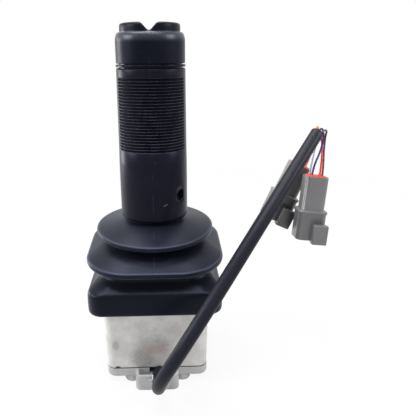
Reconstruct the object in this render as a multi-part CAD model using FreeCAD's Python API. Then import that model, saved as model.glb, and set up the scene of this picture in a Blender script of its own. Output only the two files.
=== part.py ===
import FreeCAD, Part
import math
import os

# Industrial joystick: a two axis lever with a thumb rocker, in millimetres.
# X is to the right, Y is to the back, Z is up, and Z = 0 is the table under the four screw bosses.
# The lever pivots where the X and Y axes cross at the height PIVOT_Z.

V = FreeCAD.Vector
os.makedirs("parts", exist_ok=True)

# Cast housing, and the mounting flange that closes it
WALL_GAP = 0.975
HOUSING_TAPER = 1.0
HOUSING_CORNER = 6.0
HOUSING_WALL = 3.1
HOUSING_HEIGHT = 45.2
COLUMN_R = 4.5
COLUMN_GAP = 1.0
FLANGE_CORNER = 5.0
FLANGE_THICK = 6.0
THROAT_R = 17.0
SEAT_GROOVE = 0.8
SEAT_GROOVE_DEPTH = 0.6
MOUNT_OUTSIDE = 1.9
MOUNT_EDGE = 4.0
MOUNT_HOLE_R = 2.5
MOUNT_HOLE_DEPTH = 5.0

# Bottom cover, its bosses and the cable guard
COVER_PROUD = 0.2
COVER_HEIGHT = 6.5
COVER_FLOOR = 1.8
COVER_EDGE = 1.6
COVER_THINNING = 0.3
BOSS_HEIGHT = 4.5
BOSS_R = 5.5
BOSS_EDGE = 1.0
BOSS_INSET = 5.6
COVER_SCREW_SINK = 0.4
COVER_SCREW_BITE = 4.5
GASKET_THICK = 0.8
GASKET_INSET = 0.5
GUARD_HALF = 14.8
GUARD_REACH = 9.0
GUARD_WALL = 2.0
GUARD_CORNER = 4.0
SADDLE_REACH = 2.2
SADDLE_WALL = 3.0

# Screws: shank radius, head radius, head height and key radius
M4_R, M4_HEAD_R, M4_HEAD, M4_KEY_R = 2.0, 3.5, 3.6, 1.7
M3_R, M3_HEAD_R, M3_HEAD, M3_KEY_R = 1.5, 2.75, 2.4, 1.3
M2_R, M2_HEAD_R, M2_HEAD, M2_KEY_R = 1.25, 2.2, 1.5, 1.0
SCREW_CLEARANCE = 0.2

# Gimbal, yoke and their bearings
PIVOT_DROP = 9.0
TILT_DEG = 18.0
FRAME_END_X = 7.0
FRAME_END_Y = 4.0
FRAME_HALF_Z = 4.0
FRAME_CORNER = 3.0
WINDOW_GAP_X = 2.0
WINDOW_GAP_Y = 1.0
PIN_R = 2.5
LEVER_PIN_R = 3.0
RUNNING_FIT = 0.05
SIDE_GAP = 0.3
BUSH_WALL = 1.0
BUSH_FLANGE = 1.2
BUSH_FLANGE_R = 5.0
BLOCK_THICK = 6.0
BLOCK_HALF = 6.0
BLOCK_DROP = 8.5
LUG_HALF = 12.0
LUG_HEIGHT = 6.0
LUG_SCREW = 9.0
BLOCK_SCREW_LENGTH = 10.5
YOKE_GAP = 2.5
YOKE_ARM_THICK = 3.0
YOKE_ARM_HALF = 5.0
YOKE_EYE_R = 5.5
YOKE_BAR_HALF = 7.0
YOKE_BAR_THICK = 4.0
SLOT_CLEARANCE = 0.35
SLOT_HALF_LENGTH = 10.5

# Angle sensors and centring springs
SENSOR_R = 8.0
SENSOR_BACK = 1.0
SENSOR_PLUG = 4.0
MAGNET_RIM = 1.3
MAGNET_THICK = 2.2
MAGNET_SEAT = 1.0
MAGNET_START = 0.5
MAGNET_GAP = 0.8
SPRING_WIRE_R = 0.5
SPRING_FIT = 0.4
SPRING_START = 0.3
SPRING_TURNS = 2.5
SPRING_PITCH = 1.05
LEG_OVERHANG = 0.3
ARM_THICK = 1.3
ARM_RIM = 1.7
TAB_SIDE_GAP = 0.2
TAB_THICK = 2.0
TAB_DROP = 1.1
TAB_GAP = 0.9

# Lever hub, drive rod and shaft
HUB_WALL = 2.0
HUB_ABOVE = 12.0
HUB_BELOW = 8.0
NOSE_R = 5.0
NOSE_LENGTH = 4.0
HUB_BUSH_LENGTH = 4.7
SHAFT_SEAT = 5.5
HUB_PIN_R = 1.5
HUB_PIN_ABOVE = 8.5
DRIVE_LENGTH = 20.0
DRIVE_BALL_R = 3.0
DRIVE_ROD_R = 2.2
DRIVE_SEAT = 5.0
SHAFT_R = 6.0
SHAFT_WALL = 2.0
SHAFT_DROP = 3.2
STOP_SLEEVE_WALL = 1.0
STOP_SLEEVE_LENGTH = 10.0
LEAD_R = 2.6
LEAD_HOLE_R = 2.9
LEAD_ABOVE = 4.0
LEAD_STUB = 8.5

# Travel gate and boot ring on top of the flange
GATE_HALF = 26.0
GATE_THICK = 2.0
GATE_CORNER = 5.0
GATE_OPENING = 13.8
GATE_OPENING_CORNER = 6.5
GATE_EDGE = 5.0
RING_INSET = 0.7
RING_WIDTH = 7.0
RING_CORNER = 8.0
RING_THICK = 1.5
TOP_SCREW_LENGTH = 6.5

# Rubber boot, from the skirt over the flange up to the neck under the grip
BOOT_SKIN = 1.6
BOOT_LIP = 2.0
SKIRT_OUTSIDE = 3.3
SKIRT_CORNER = 10.0
SKIRT_HEIGHT = 14.5
SKIRT_EDGE = 2.0
SHOULDER_INSET = 2.0
WAIST_INSET = 7.3
WAIST_CORNER = 17.0
WAIST_RISE = 8.5
WAIST_HEIGHT = 1.4
RIM_PROUD = 1.2
RIM_CORNER = 27.0
RIM_RISE = 3.6
RIM_LIP = 3.4
LIP_EDGE = 0.8
THROAT_RISE = 7.8
THROAT_HEIGHT = 1.0
BOOT_THROAT_R = 31.5
COLLAR_R = 40.2
COLLAR_RISE = 3.8
COLLAR_LIP = 2.2
CONE_TOP_R = 22.5
CONE_RISE = 7.3
NECK_PROUD = 0.5
NECK_WALL = 2.1
NECK_RISE = 3.0
NECK_LENGTH = 8.5

# Grip
GRIP_GAP = 1.0
GRIP_LENGTH = 96.7
GRIP_TOP_R = 22.6
GRIP_FLARE = 0.2
GRIP_FOOT_EDGE = 3.5
GRIP_TOP_EDGE = 1.0
GRIP_RUBBER = 3.3
SPIGOT_GAP = 0.1
SPIGOT_DROP = 3.5
CORE_WEB_FOOT = 25.0
CORE_WEB_TOP = 13.2
CORE_WALL = 3.8
BORE_FIT = 0.05
RIB_COUNT = 24
RIB_PITCH = 1.82
RIB_GROOVE = 0.95
RIB_DEPTH = 0.8
RIB_TOP_DROP = 6.0
SMOOTH_DEG = 24.0
GRIP_SCREW_R = 3.0
GRIP_SCREW_SINK = 3.8
GRIP_SCREW_ABOVE = 16.0
GRIP_SCREW_DEG = -38.0
GRIP_SCREW_HOLE_R = 3.8

# Cap, rocker and what sits between them
LIP_RING_THICK = 2.8
LIP_GROOVE = 2.4
LIP_BACK = 0.3
LIP_RING_FIT = 2.0
LIP_THICK = 1.0
LIP_LIFT = 1.0
CAP_HEIGHT = 18.6
CAP_EDGE = 2.4
CAP_WALL = 2.8
CAP_FLOOR = 1.9
POCKET_RIM = 2.2
POCKET_DEPTH = 6.7
PILLAR_X = 12.0
PILLAR_R = 3.6
POST_Y = 11.0
POST_R = 2.0
POST_LENGTH = 1.2
CAP_SCREW_LENGTH = 20.0
ROCKER_GAP = 0.6
ROCKER_HEIGHT = 9.8
ROCKER_LIFT = 3.1
ROCKER_EDGE = 2.6
ROCKER_CROWN = 1.1
NOTCH_HALF = 4.6
NOTCH_DEPTH = 5.4
ROCKER_PIN_R = 1.2
ROCKER_PIN_LIFT = 1.2
ROCKER_BOSS_R = 3.4
ROCKER_BOSS_HALF = 9.0
ROCKER_MAGNET_R = 1.9
ROCKER_MAGNET_THICK = 1.3
LEAF_END_GAP = 7.4
LEAF_SIDE_GAP = 10.4
LEAF_THICK = 0.4
LEAF_WIDTH = 5.0
SENSE_BOARD_X = 8.2
SENSE_BOARD_Y = 14.0
CHIP_HALF = 2.0
CHIP_THICK = 1.1

# Control board in the cover, and the inner lead with its strap
BOARD_EDGE_GAP = 4.4
BOARD_COLUMN_GAP = 1.0
BOARD_CORNER = 3.0
BOARD_THICK = 1.6
PILLAR_HEIGHT = 7.7
BOARD_PILLAR_EDGE_X = 3.0
BOARD_PILLAR_EDGE_Y = 3.5
BOARD_PILLAR_R = 3.0
BOARD_SCREW_LENGTH = 6.0
HEADER_HALF = 7.0
HEADER_DEPTH = 8.0
HEADER_FRONT = -12.0
HEADER_GAP = 0.3
LOGIC_CHIP_HALF = 6.0
LOGIC_CHIP_Y = 8.0
LOGIC_CHIP_THICK = 1.4
DRIVER_CHIP_HALF_X = 3.0
DRIVER_CHIP_HALF_Y = 4.0
DRIVER_CHIP_X = -15.0
DRIVER_CHIP_Y = -4.0
DRIVER_CHIP_THICK = 1.2
CAPACITOR_R = 3.2
CAPACITOR_HEIGHT = 5.0
CAPACITOR_X = 16.0
CAPACITOR_Y = 1.0
CAPACITOR_SPACING = 10.0
CORE_LEAD_R = 2.2
CORE_GAP = 0.1
STRAP_Y = -24.0
STRAP_WIDTH = 6.0
STRAP_SCREW = 7.0
STRAP_HALF = 9.8
STRAP_THICK = 1.2
STRAP_BOSS_R = 2.6
STRAP_SCREW_LENGTH = 3.4

# Cable, wires and plugs
CABLE_R = 4.35
CABLE_X = 1.5
CABLE_EXIT_GAP = 0.4
CABLE_EXIT_Z = 8.65
NOTCH_CLEARANCE = 0.55
NOTCH_Z = 7.9
OPENING_HALF = 7.0
WIRE_R = 0.7
ARC_SHARE = 0.45
PLUG_LENGTH = 44.0
PLUG_BODY_X = 8.3
PLUG_BODY_Y = 6.9
PLUG_BODY_CORNER = 3.4
PLUG_BODY_LENGTH = 26.0
SHROUD_X = 10.1
SHROUD_Y = 8.6
SHROUD_CORNER = 4.2
SHROUD_WALL = 1.4
SHROUD_LIP = 0.5
SHROUD_LIP_LENGTH = 2.0
KEEPER_X = 5.8
KEEPER_HALF = 5.2
KEEPER_HEIGHT = 13.6
KEEPER_REACH = 4.6
KEEPER_BELOW = 2.6
LOCK_DEPTH = 6.0
LOCK_RECESS = 0.5
LOCK_SLOT = 0.8
SEAL_INSET = 1.4
SEAL_DEPTH = 5.0
SEAL_PROUD = 0.5
WIRE_ROW = 3.5
WIRE_COLUMN = 2.6
WIRE_ENTRY = 2.5
WIRE_LEAD_IN = 5.0
FRONT_PLUG_TOP = (109.3, -8.0, 140.5)
FRONT_PLUG_FOOT = (105.0, -12.0, 97.0)
REAR_PLUG_TOP = (104.1, 14.0, 143.4)
REAR_PLUG_FOOT = (84.9, 12.0, 101.6)

# Sizes across that follow from the ones above, from the shaft out to the skirt
HUB_R = SHAFT_R + HUB_WALL
SHAFT_BORE_R = SHAFT_R - SHAFT_WALL
LIP_RING_BORE_R = SHAFT_R + LIP_RING_FIT
WINDOW_HALF_X = HUB_R + WINDOW_GAP_X
WINDOW_HALF_Y = HUB_R + WINDOW_GAP_Y
FRAME_HALF_X = WINDOW_HALF_X + FRAME_END_X
FRAME_HALF_Y = WINDOW_HALF_Y + FRAME_END_Y
YOKE_ARM_Y = FRAME_HALF_Y + YOKE_GAP
BLOCK_X = FRAME_HALF_X + SIDE_GAP + BUSH_FLANGE
BLOCK_Y = YOKE_ARM_Y + YOKE_ARM_THICK + SIDE_GAP + BUSH_FLANGE
MAGNET_R = PIN_R + MAGNET_RIM
SENSOR_BORE_R = MAGNET_R + MAGNET_GAP
SENSOR_THICK = MAGNET_START + MAGNET_THICK + MAGNET_GAP + SENSOR_BACK
SPRING_R = PIN_R + SPRING_FIT + SPRING_WIRE_R
SPRING_LENGTH = SPRING_START + SPRING_TURNS * SPRING_PITCH + 2 * SPRING_WIRE_R
TAB_HALF = SPRING_R - SPRING_WIRE_R - TAB_SIDE_GAP
FIXED_TAB = SPRING_R + SPRING_WIRE_R + TAB_DROP
MOVING_TAB = FIXED_TAB + TAB_THICK + TAB_GAP
SPRING_LEG = MOVING_TAB + TAB_THICK + LEG_OVERHANG
ARM_EYE_R = PIN_R + ARM_RIM
ARM_REACH = BLOCK_THICK + SPRING_LENGTH + SIDE_GAP + ARM_THICK
HOUSING_TOP_HALF = BLOCK_Y + ARM_REACH + WALL_GAP + HOUSING_WALL
HOUSING_FOOT_HALF = HOUSING_TOP_HALF - HOUSING_TAPER
MOUNT_HALF = HOUSING_TOP_HALF + MOUNT_OUTSIDE
FLANGE_HALF = MOUNT_HALF + MOUNT_EDGE
RING_HALF = FLANGE_HALF - RING_INSET
RING_INNER_HALF = RING_HALF - RING_WIDTH
RING_SCREW = RING_HALF - RING_WIDTH / 2
GATE_SCREW = GATE_HALF - GATE_EDGE
SKIRT_HALF = FLANGE_HALF + SKIRT_OUTSIDE
WAIST_HALF = SKIRT_HALF - WAIST_INSET
RIM_HALF = SKIRT_HALF + RIM_PROUD
COVER_HALF = HOUSING_FOOT_HALF + COVER_PROUD
COVER_CORNER = HOUSING_CORNER + COVER_PROUD
COVER_INNER_HALF = COVER_HALF - HOUSING_WALL - COVER_THINNING
BOSS_X = LUG_HALF + COLUMN_GAP + COLUMN_R
BOSS_Y = HOUSING_FOOT_HALF - BOSS_INSET
BOARD_HALF_X = COVER_INNER_HALF - BOARD_EDGE_GAP
BOARD_HALF_Y = BOSS_Y - COLUMN_R - BOARD_COLUMN_GAP
BOARD_PILLAR_X = BOARD_HALF_X - BOARD_PILLAR_EDGE_X
BOARD_PILLAR_Y = BOARD_HALF_Y - BOARD_PILLAR_EDGE_Y
CABLE_START_Y = -COVER_HALF - CABLE_EXIT_GAP
GUARD_Y = -COVER_HALF - GUARD_REACH
NOTCH_R = CABLE_R + NOTCH_CLEARANCE
CORE_R = GRIP_TOP_R - GRIP_RUBBER
GRIP_FOOT_R = GRIP_TOP_R + GRIP_FLARE
NECK_R = CORE_R + NECK_PROUD
SPIGOT_R = NECK_R - NECK_WALL - SPIGOT_GAP
LIP_RING_R = GRIP_TOP_R - LIP_GROOVE
LIP_R = GRIP_TOP_R - LIP_BACK
GRIP_SCREW_LENGTH = CORE_R - SHAFT_R - GRIP_SCREW_SINK
POCKET_R = GRIP_TOP_R - POCKET_RIM
ROCKER_R = POCKET_R - ROCKER_GAP
LEAF_HALF = POCKET_R - LEAF_END_GAP
LEAF_Y = POCKET_R - LEAF_SIDE_GAP

# Heights that follow, from the table up to the rocker
COVER_Z = BOSS_HEIGHT
FLOOR_Z = COVER_Z + COVER_FLOOR
SEAM_Z = COVER_Z + COVER_HEIGHT
HOUSING_Z = SEAM_Z + GASKET_THICK
COVER_SCREW_SEAT = M4_HEAD + COVER_SCREW_SINK
BOARD_Z = FLOOR_Z + PILLAR_HEIGHT
FLANGE_Z = HOUSING_Z + HOUSING_HEIGHT
FLANGE_TOP_Z = FLANGE_Z + FLANGE_THICK
GATE_TOP_Z = FLANGE_TOP_Z + GATE_THICK
BOOT_LIP_Z = FLANGE_TOP_Z + BOOT_LIP
PIVOT_Z = FLANGE_Z - PIVOT_DROP
DRIVE_Z = PIVOT_Z - DRIVE_LENGTH
SHAFT_Z = PIVOT_Z + SHAFT_SEAT
HUB_TOP_Z = PIVOT_Z + HUB_ABOVE
HUB_PIN_Z = PIVOT_Z + HUB_PIN_ABOVE
LEAD_Z = HUB_TOP_Z + STOP_SLEEVE_LENGTH + LEAD_ABOVE
SKIRT_Z = FLANGE_Z + SKIRT_HEIGHT
WAIST_Z = SKIRT_Z + WAIST_RISE
RIM_Z = WAIST_Z + WAIST_HEIGHT + RIM_RISE
THROAT_Z = RIM_Z + RIM_LIP + THROAT_RISE
COLLAR_Z = THROAT_Z + THROAT_HEIGHT + COLLAR_RISE
CONE_Z = COLLAR_Z + COLLAR_LIP + CONE_RISE
NECK_Z = CONE_Z + NECK_RISE
NECK_TOP_Z = NECK_Z + NECK_LENGTH
GRIP_Z = NECK_Z + GRIP_GAP
GRIP_TOP_Z = GRIP_Z + GRIP_LENGTH
SHAFT_TOP_Z = GRIP_TOP_Z - SHAFT_DROP
CAP_Z = GRIP_TOP_Z + LIP_RING_THICK
CAP_TOP_Z = CAP_Z + CAP_HEIGHT
POCKET_Z = CAP_TOP_Z - POCKET_DEPTH
CAP_CEILING_Z = POCKET_Z - CAP_FLOOR
ROCKER_Z = POCKET_Z + ROCKER_LIFT
ROCKER_TOP_Z = ROCKER_Z + ROCKER_HEIGHT
ROCKER_PIN_Z = ROCKER_Z + ROCKER_PIN_LIFT

# The route of the cable and of each wire, as points chosen by hand
CABLE_POINTS = [
    (CABLE_X, CABLE_START_Y, CABLE_EXIT_Z),
    (1.5, -60.6, 7.7),
    (4.3, -81.0, 28.2),
    (17.4, -80.5, 53.9),
    (43.9, -66.0, 89.2),
    (77.6, -39.0, 134.4),
    (108.6, -6.0, 169.1),
]
WIRE_POINTS = {
    "wire_navy": [
        (108.8, -7.6, 170.7), (111.5, -4.7, 172.2), (113.8, -1.8, 170.3),
        (115.0, -0.9, 165.3), (112.8, -3.5, 156.7),
    ],
    "wire_brown": [
        (110.6, -7.5, 169.0), (113.7, -5.2, 171.1), (116.4, -2.0, 169.8),
        (116.4, 0.7, 165.6), (115.3, -2.3, 157.1),
    ],
    "wire_red": [
        (110.4, -5.5, 167.6), (111.8, -2.9, 168.6), (112.8, 0.4, 167.6),
        (115.2, 3.5, 162.5), (115.5, 1.4, 154.5),
    ],
    "wire_pale": [
        (108.7, -5.9, 169.3), (110.4, -3.3, 170.7), (113.2, 1.9, 169.4),
        (112.2, 4.3, 163.9), (110.0, 1.5, 155.9),
    ],
    "wire_orange": [
        (107.0, -6.1, 171.0), (108.8, -3.9, 172.6), (110.9, 0.1, 172.2),
        (111.9, 4.3, 168.8), (111.7, 8.8, 160.1),
    ],
    "wire_violet": [
        (107.4, -4.0, 168.8), (108.8, -1.6, 170.4), (109.5, 3.1, 170.5),
        (110.4, 8.0, 167.2), (111.0, 13.5, 159.4),
    ],
}


# Shapes that several pieces share

def block(x, y, z):
    """Box between the low and high values of each axis."""
    return Part.makeBox(x[1] - x[0], y[1] - y[0], z[1] - z[0], V(x[0], y[0], z[0]))


def rod(start, end, radius):
    """Cylinder from one point to another."""
    start = V(*start)
    along = V(*end) - start
    return Part.makeCylinder(radius, along.Length, start, along)


def ring_about(start, end, outer, inner):
    return rod(start, end, outer).cut(rod(start, end, inner))


def arc_edge(centre, radius, start_deg, end_deg, z):
    spots = []
    for angle in (start_deg, (start_deg + end_deg) / 2, end_deg):
        turn = math.radians(angle)
        spots.append(V(centre[0] + radius * math.cos(turn), centre[1] + radius * math.sin(turn), z))
    return Part.Arc(*spots).toShape()


def outline(half_x, half_y, corner, z, centre=(0.0, 0.0)):
    """Closed outline of a rounded rectangle: four corner arcs and four straight sides."""
    arcs = []
    for quarter, (side_x, side_y) in enumerate(((1, 1), (-1, 1), (-1, -1), (1, -1))):
        middle = (centre[0] + side_x * (half_x - corner), centre[1] + side_y * (half_y - corner))
        arcs.append(arc_edge(middle, corner, 90 * quarter, 90 * quarter + 90, z))
    edges = []
    for arc, following in zip(arcs, arcs[1:] + arcs[:1]):
        edges.append(arc)
        edges.append(Part.makeLine(arc.Vertexes[-1].Point, following.Vertexes[0].Point))
    return Part.Wire(edges)


def round_outline(radius, z, short_deg=5.0):
    """Circle in eight arcs, so that it lofts to a rounded square."""
    edges = []
    for quarter in range(4):
        start = 90 * quarter
        edges.append(arc_edge((0, 0), radius, start + short_deg, start + 90 - short_deg, z))
        edges.append(arc_edge((0, 0), radius, start + 90 - short_deg, start + 90 + short_deg, z))
    return Part.Wire(edges)


def slab(half_x, half_y, corner, z, centre=(0.0, 0.0)):
    """Upright block with rounded corners, between two heights."""
    face = Part.Face(outline(half_x, half_y, corner, z[0], centre))
    return face.extrude(V(0, 0, z[1] - z[0]))


def turned_profile(points):
    """Solid of revolution about Z from (radius, height) points, closed in their order."""
    spots = [V(radius, 0, height) for radius, height in points]
    face = Part.Face(Part.makePolygon(spots + spots[:1]))
    return face.revolve(V(0, 0, 0), V(0, 0, 1), 360)


def turned_about_z(shape, degrees):
    copy = shape.copy()
    copy.rotate(V(0, 0, 0), V(0, 0, 1), degrees)
    return copy


def four_corners(x, y):
    return [(side_x * x, side_y * y) for side_x in (-1, 1) for side_y in (-1, 1)]


def screw(seat, direction, size, length):
    """Socket head screw: the head sits on the seat and the shank runs along direction."""
    shank_r, head_r, head, key_r = size
    seat = V(*seat)
    along = V(*direction)
    shank = Part.makeCylinder(shank_r, length, seat, along)
    top = Part.makeCylinder(head_r, head, seat - along * head, along)
    key = Part.makeCylinder(key_r, head * 0.6, seat - along * head, along)
    return shank.fuse(top).cut(key).removeSplitter()


M4 = (M4_R, M4_HEAD_R, M4_HEAD, M4_KEY_R)
M3 = (M3_R, M3_HEAD_R, M3_HEAD, M3_KEY_R)
M2 = (M2_R, M2_HEAD_R, M2_HEAD, M2_KEY_R)


# Housing, flange, gasket and bottom cover

def make_housing():
    """Tapered cast box, open at both ends, with a column for each of the four long screws."""
    outside = Part.makeLoft([
        outline(HOUSING_FOOT_HALF, HOUSING_FOOT_HALF, HOUSING_CORNER, HOUSING_Z),
        outline(HOUSING_TOP_HALF, HOUSING_TOP_HALF, HOUSING_CORNER, FLANGE_Z),
    ], True, True)
    corner = HOUSING_CORNER - HOUSING_WALL
    inside = Part.makeLoft([
        outline(HOUSING_FOOT_HALF - HOUSING_WALL, HOUSING_FOOT_HALF - HOUSING_WALL, corner, HOUSING_Z),
        outline(HOUSING_TOP_HALF - HOUSING_WALL, HOUSING_TOP_HALF - HOUSING_WALL, corner, FLANGE_Z),
    ], True, True)
    shell = outside.cut(inside)
    for x, y in four_corners(BOSS_X, BOSS_Y):
        shell = shell.fuse(rod((x, y, HOUSING_Z), (x, y, FLANGE_Z), COLUMN_R))
    for x, y in four_corners(BOSS_X, BOSS_Y):
        shell = shell.cut(rod((x, y, HOUSING_Z), (x, y, FLANGE_Z), M4_R + SCREW_CLEARANCE))
    return shell.removeSplitter()


def make_flange():
    """Square plate that closes the housing, carries the mechanism and hangs in the panel.

    A shallow groove round the seat of the walls lets the edge of the panel lie flat.
    """
    flange = slab(FLANGE_HALF, FLANGE_HALF, FLANGE_CORNER, (FLANGE_Z, FLANGE_TOP_Z))
    holes = [rod((0, 0, FLANGE_Z), (0, 0, FLANGE_TOP_Z), THROAT_R)]
    for x, y in four_corners(BOSS_X, BOSS_Y):
        holes.append(rod((x, y, FLANGE_Z), (x, y, FLANGE_Z + COVER_SCREW_BITE + 0.5), M4_R))
    for x, y in four_corners(MOUNT_HALF, MOUNT_HALF):
        holes.append(rod((x, y, FLANGE_Z), (x, y, FLANGE_Z + MOUNT_HOLE_DEPTH), MOUNT_HOLE_R))
    for x, y in four_corners(GATE_SCREW, GATE_SCREW):
        holes.append(rod((x, y, GATE_TOP_Z - TOP_SCREW_LENGTH), (x, y, FLANGE_TOP_Z), M3_R))
    for x, y in ring_screw_places():
        low = BOOT_LIP_Z + RING_THICK - TOP_SCREW_LENGTH
        holes.append(rod((x, y, low), (x, y, FLANGE_TOP_Z), M3_R))
    for x, y in block_screw_places():
        tip = FLANGE_Z - LUG_HEIGHT + BLOCK_SCREW_LENGTH
        holes.append(rod((x, y, FLANGE_Z), (x, y, tip), M3_R))
    heights = (FLANGE_Z, FLANGE_Z + SEAT_GROOVE_DEPTH)
    half = HOUSING_TOP_HALF + SEAT_GROOVE
    groove = slab(half, half, HOUSING_CORNER + SEAT_GROOVE, heights)
    groove = groove.cut(slab(HOUSING_TOP_HALF, HOUSING_TOP_HALF, HOUSING_CORNER, heights))
    return flange.cut(holes + [groove]).removeSplitter()


def ring_screw_places():
    return [(RING_SCREW, 0), (-RING_SCREW, 0), (0, RING_SCREW), (0, -RING_SCREW)]


def block_screw_places():
    """Two screws in each of the four bearing blocks."""
    places = []
    for side in (-1, 1):
        for across in (-LUG_SCREW, LUG_SCREW):
            places.append((side * (BLOCK_X + BLOCK_THICK / 2), across))
            places.append((across, side * (BLOCK_Y + BLOCK_THICK / 2)))
    return places


def make_gasket():
    """Flat seal in the seam, set back a little, with an ear round each screw."""
    half = HOUSING_FOOT_HALF - GASKET_INSET
    inner = HOUSING_FOOT_HALF - HOUSING_WALL
    heights = (SEAM_Z, HOUSING_Z)
    seal = slab(half, half, HOUSING_CORNER, heights)
    seal = seal.cut(slab(inner, inner, HOUSING_CORNER - HOUSING_WALL, heights))
    for x, y in four_corners(BOSS_X, BOSS_Y):
        seal = seal.fuse(rod((x, y, SEAM_Z), (x, y, HOUSING_Z), COLUMN_R))
        seal = seal.cut(rod((x, y, SEAM_Z), (x, y, HOUSING_Z), M4_R + SCREW_CLEARANCE))
    return seal.removeSplitter()


def guard_outline(inset, z):
    """Outline of the guard loop, which starts inside the front wall of the cover."""
    depth = GUARD_REACH + HOUSING_WALL
    middle = (0.0, GUARD_Y + depth / 2)
    return slab(GUARD_HALF - inset, depth / 2 - inset, GUARD_CORNER - inset, z, middle)


def make_cover():
    """Cast cover with four screw bosses, board pillars and the loop that guards the cable."""
    cover = slab(COVER_HALF, COVER_HALF, COVER_CORNER, (COVER_Z, SEAM_Z))
    low_edges = [edge for edge in cover.Edges if edge.BoundBox.ZMax < COVER_Z + 0.01]
    cover = cover.makeFillet(COVER_EDGE, low_edges)
    inner = COVER_INNER_HALF
    cover = cover.cut(slab(inner, inner, HOUSING_CORNER - HOUSING_WALL, (FLOOR_Z, SEAM_Z)))
    for x, y in four_corners(BOSS_X, BOSS_Y):
        boss = rod((x, y, 0), (x, y, SEAM_Z), BOSS_R)
        foot = [edge for edge in boss.Edges if edge.BoundBox.ZMax < 0.01]
        cover = cover.fuse(boss.makeFillet(BOSS_EDGE, foot))
    for x, y in four_corners(BOARD_PILLAR_X, BOARD_PILLAR_Y):
        cover = cover.fuse(rod((x, y, COVER_Z + 1.0), (x, y, BOARD_Z), BOARD_PILLAR_R))
    for x in (CABLE_X - STRAP_SCREW, CABLE_X + STRAP_SCREW):
        cover = cover.fuse(rod((x, STRAP_Y, COVER_Z + 1.0), (x, STRAP_Y, CABLE_EXIT_Z), STRAP_BOSS_R))
    guard = guard_outline(0.0, (0.0, SEAM_Z))
    guard = guard.cut(block((-GUARD_HALF, GUARD_HALF), (-COVER_HALF + 0.6, 0), (0.0, SEAM_Z)))
    guard = guard.cut(guard_outline(GUARD_WALL, (0.0, SEAM_Z)))
    saddle_r = NOTCH_R + SADDLE_WALL
    lip = rod((CABLE_X, GUARD_Y - SADDLE_REACH, NOTCH_Z), (CABLE_X, GUARD_Y + GUARD_WALL, NOTCH_Z), saddle_r)
    heights = (0.0, NOTCH_Z + 1.0)
    lip = lip.common(block((-GUARD_HALF, GUARD_HALF), (GUARD_Y - SADDLE_REACH, 0), heights))
    cover = cover.fuse([guard, lip])
    holes = []
    for x, y in four_corners(BOSS_X, BOSS_Y):
        holes.append(rod((x, y, 0), (x, y, COVER_SCREW_SEAT), M4_HEAD_R + SCREW_CLEARANCE))
        holes.append(rod((x, y, 0), (x, y, SEAM_Z), M4_R + SCREW_CLEARANCE))
    for x, y in four_corners(BOARD_PILLAR_X, BOARD_PILLAR_Y):
        tip = BOARD_Z + BOARD_THICK - BOARD_SCREW_LENGTH
        holes.append(rod((x, y, tip), (x, y, BOARD_Z), M2_R))
    for x in (CABLE_X - STRAP_SCREW, CABLE_X + STRAP_SCREW):
        tip = CABLE_EXIT_Z + STRAP_THICK - STRAP_SCREW_LENGTH
        holes.append(rod((x, STRAP_Y, tip), (x, STRAP_Y, CABLE_EXIT_Z), M2_R))
    notch_ends = (GUARD_Y - SADDLE_REACH - 1.0, GUARD_Y + GUARD_WALL + 1.0)
    holes.append(rod((CABLE_X, notch_ends[0], NOTCH_Z), (CABLE_X, notch_ends[1], NOTCH_Z), NOTCH_R))
    holes.append(block((CABLE_X - NOTCH_R, CABLE_X + NOTCH_R), notch_ends, (NOTCH_Z, SEAM_Z)))
    opening_x = (CABLE_X - OPENING_HALF, CABLE_X + OPENING_HALF)
    holes.append(block(opening_x, (-COVER_HALF - 0.1, -COVER_HALF + HOUSING_WALL + 1.0), (FLOOR_Z, SEAM_Z)))
    return cover.cut(holes).removeSplitter()


def make_cover_screws():
    """Four long screws that clamp the cover and the housing under the flange."""
    seat = COVER_SCREW_SEAT
    length = FLANGE_Z + COVER_SCREW_BITE - seat
    return [screw((x, y, seat), (0, 0, 1), M4, length) for x, y in four_corners(BOSS_X, BOSS_Y)]


# Bearing blocks, bushes, sensors and centring springs

def bearing_block(face, has_spring):
    """Block hung from the flange by two lugs; on the spring side it carries the fixed tab."""
    x = (face, face + BLOCK_THICK)
    body = block(x, (-BLOCK_HALF, BLOCK_HALF), (PIVOT_Z - BLOCK_DROP, FLANGE_Z))
    body = body.fuse(block(x, (-LUG_HALF, LUG_HALF), (FLANGE_Z - LUG_HEIGHT, FLANGE_Z)))
    if has_spring:
        tab_z = (PIVOT_Z - FIXED_TAB - TAB_THICK, PIVOT_Z - FIXED_TAB)
        reach = face + BLOCK_THICK + SPRING_LENGTH
        body = body.fuse(block((face, reach), (-TAB_HALF, TAB_HALF), tab_z))
    middle = face + BLOCK_THICK / 2
    holes = [rod((face, 0, PIVOT_Z), (x[1], 0, PIVOT_Z), PIN_R + RUNNING_FIT + BUSH_WALL)]
    for y in (-LUG_SCREW, LUG_SCREW):
        holes.append(rod((middle, y, FLANGE_Z - LUG_HEIGHT), (middle, y, FLANGE_Z), M3_R + SCREW_CLEARANCE))
    return body.cut(holes).removeSplitter()


def bush(face):
    """Flanged bush pressed into a bearing block from its inner side."""
    sleeve_r = PIN_R + RUNNING_FIT + BUSH_WALL
    body = rod((face, 0, PIVOT_Z), (face + BLOCK_THICK, 0, PIVOT_Z), sleeve_r)
    body = body.fuse(rod((face - BUSH_FLANGE, 0, PIVOT_Z), (face, 0, PIVOT_Z), BUSH_FLANGE_R))
    bore = rod((face - BUSH_FLANGE, 0, PIVOT_Z), (face + BLOCK_THICK, 0, PIVOT_Z), PIN_R + RUNNING_FIT)
    return body.cut(bore).removeSplitter()


def block_screws(face):
    middle = face + BLOCK_THICK / 2
    seat = FLANGE_Z - LUG_HEIGHT
    return [screw((middle, y, seat), (0, 0, 1), M3, BLOCK_SCREW_LENGTH) for y in (-LUG_SCREW, LUG_SCREW)]


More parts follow.
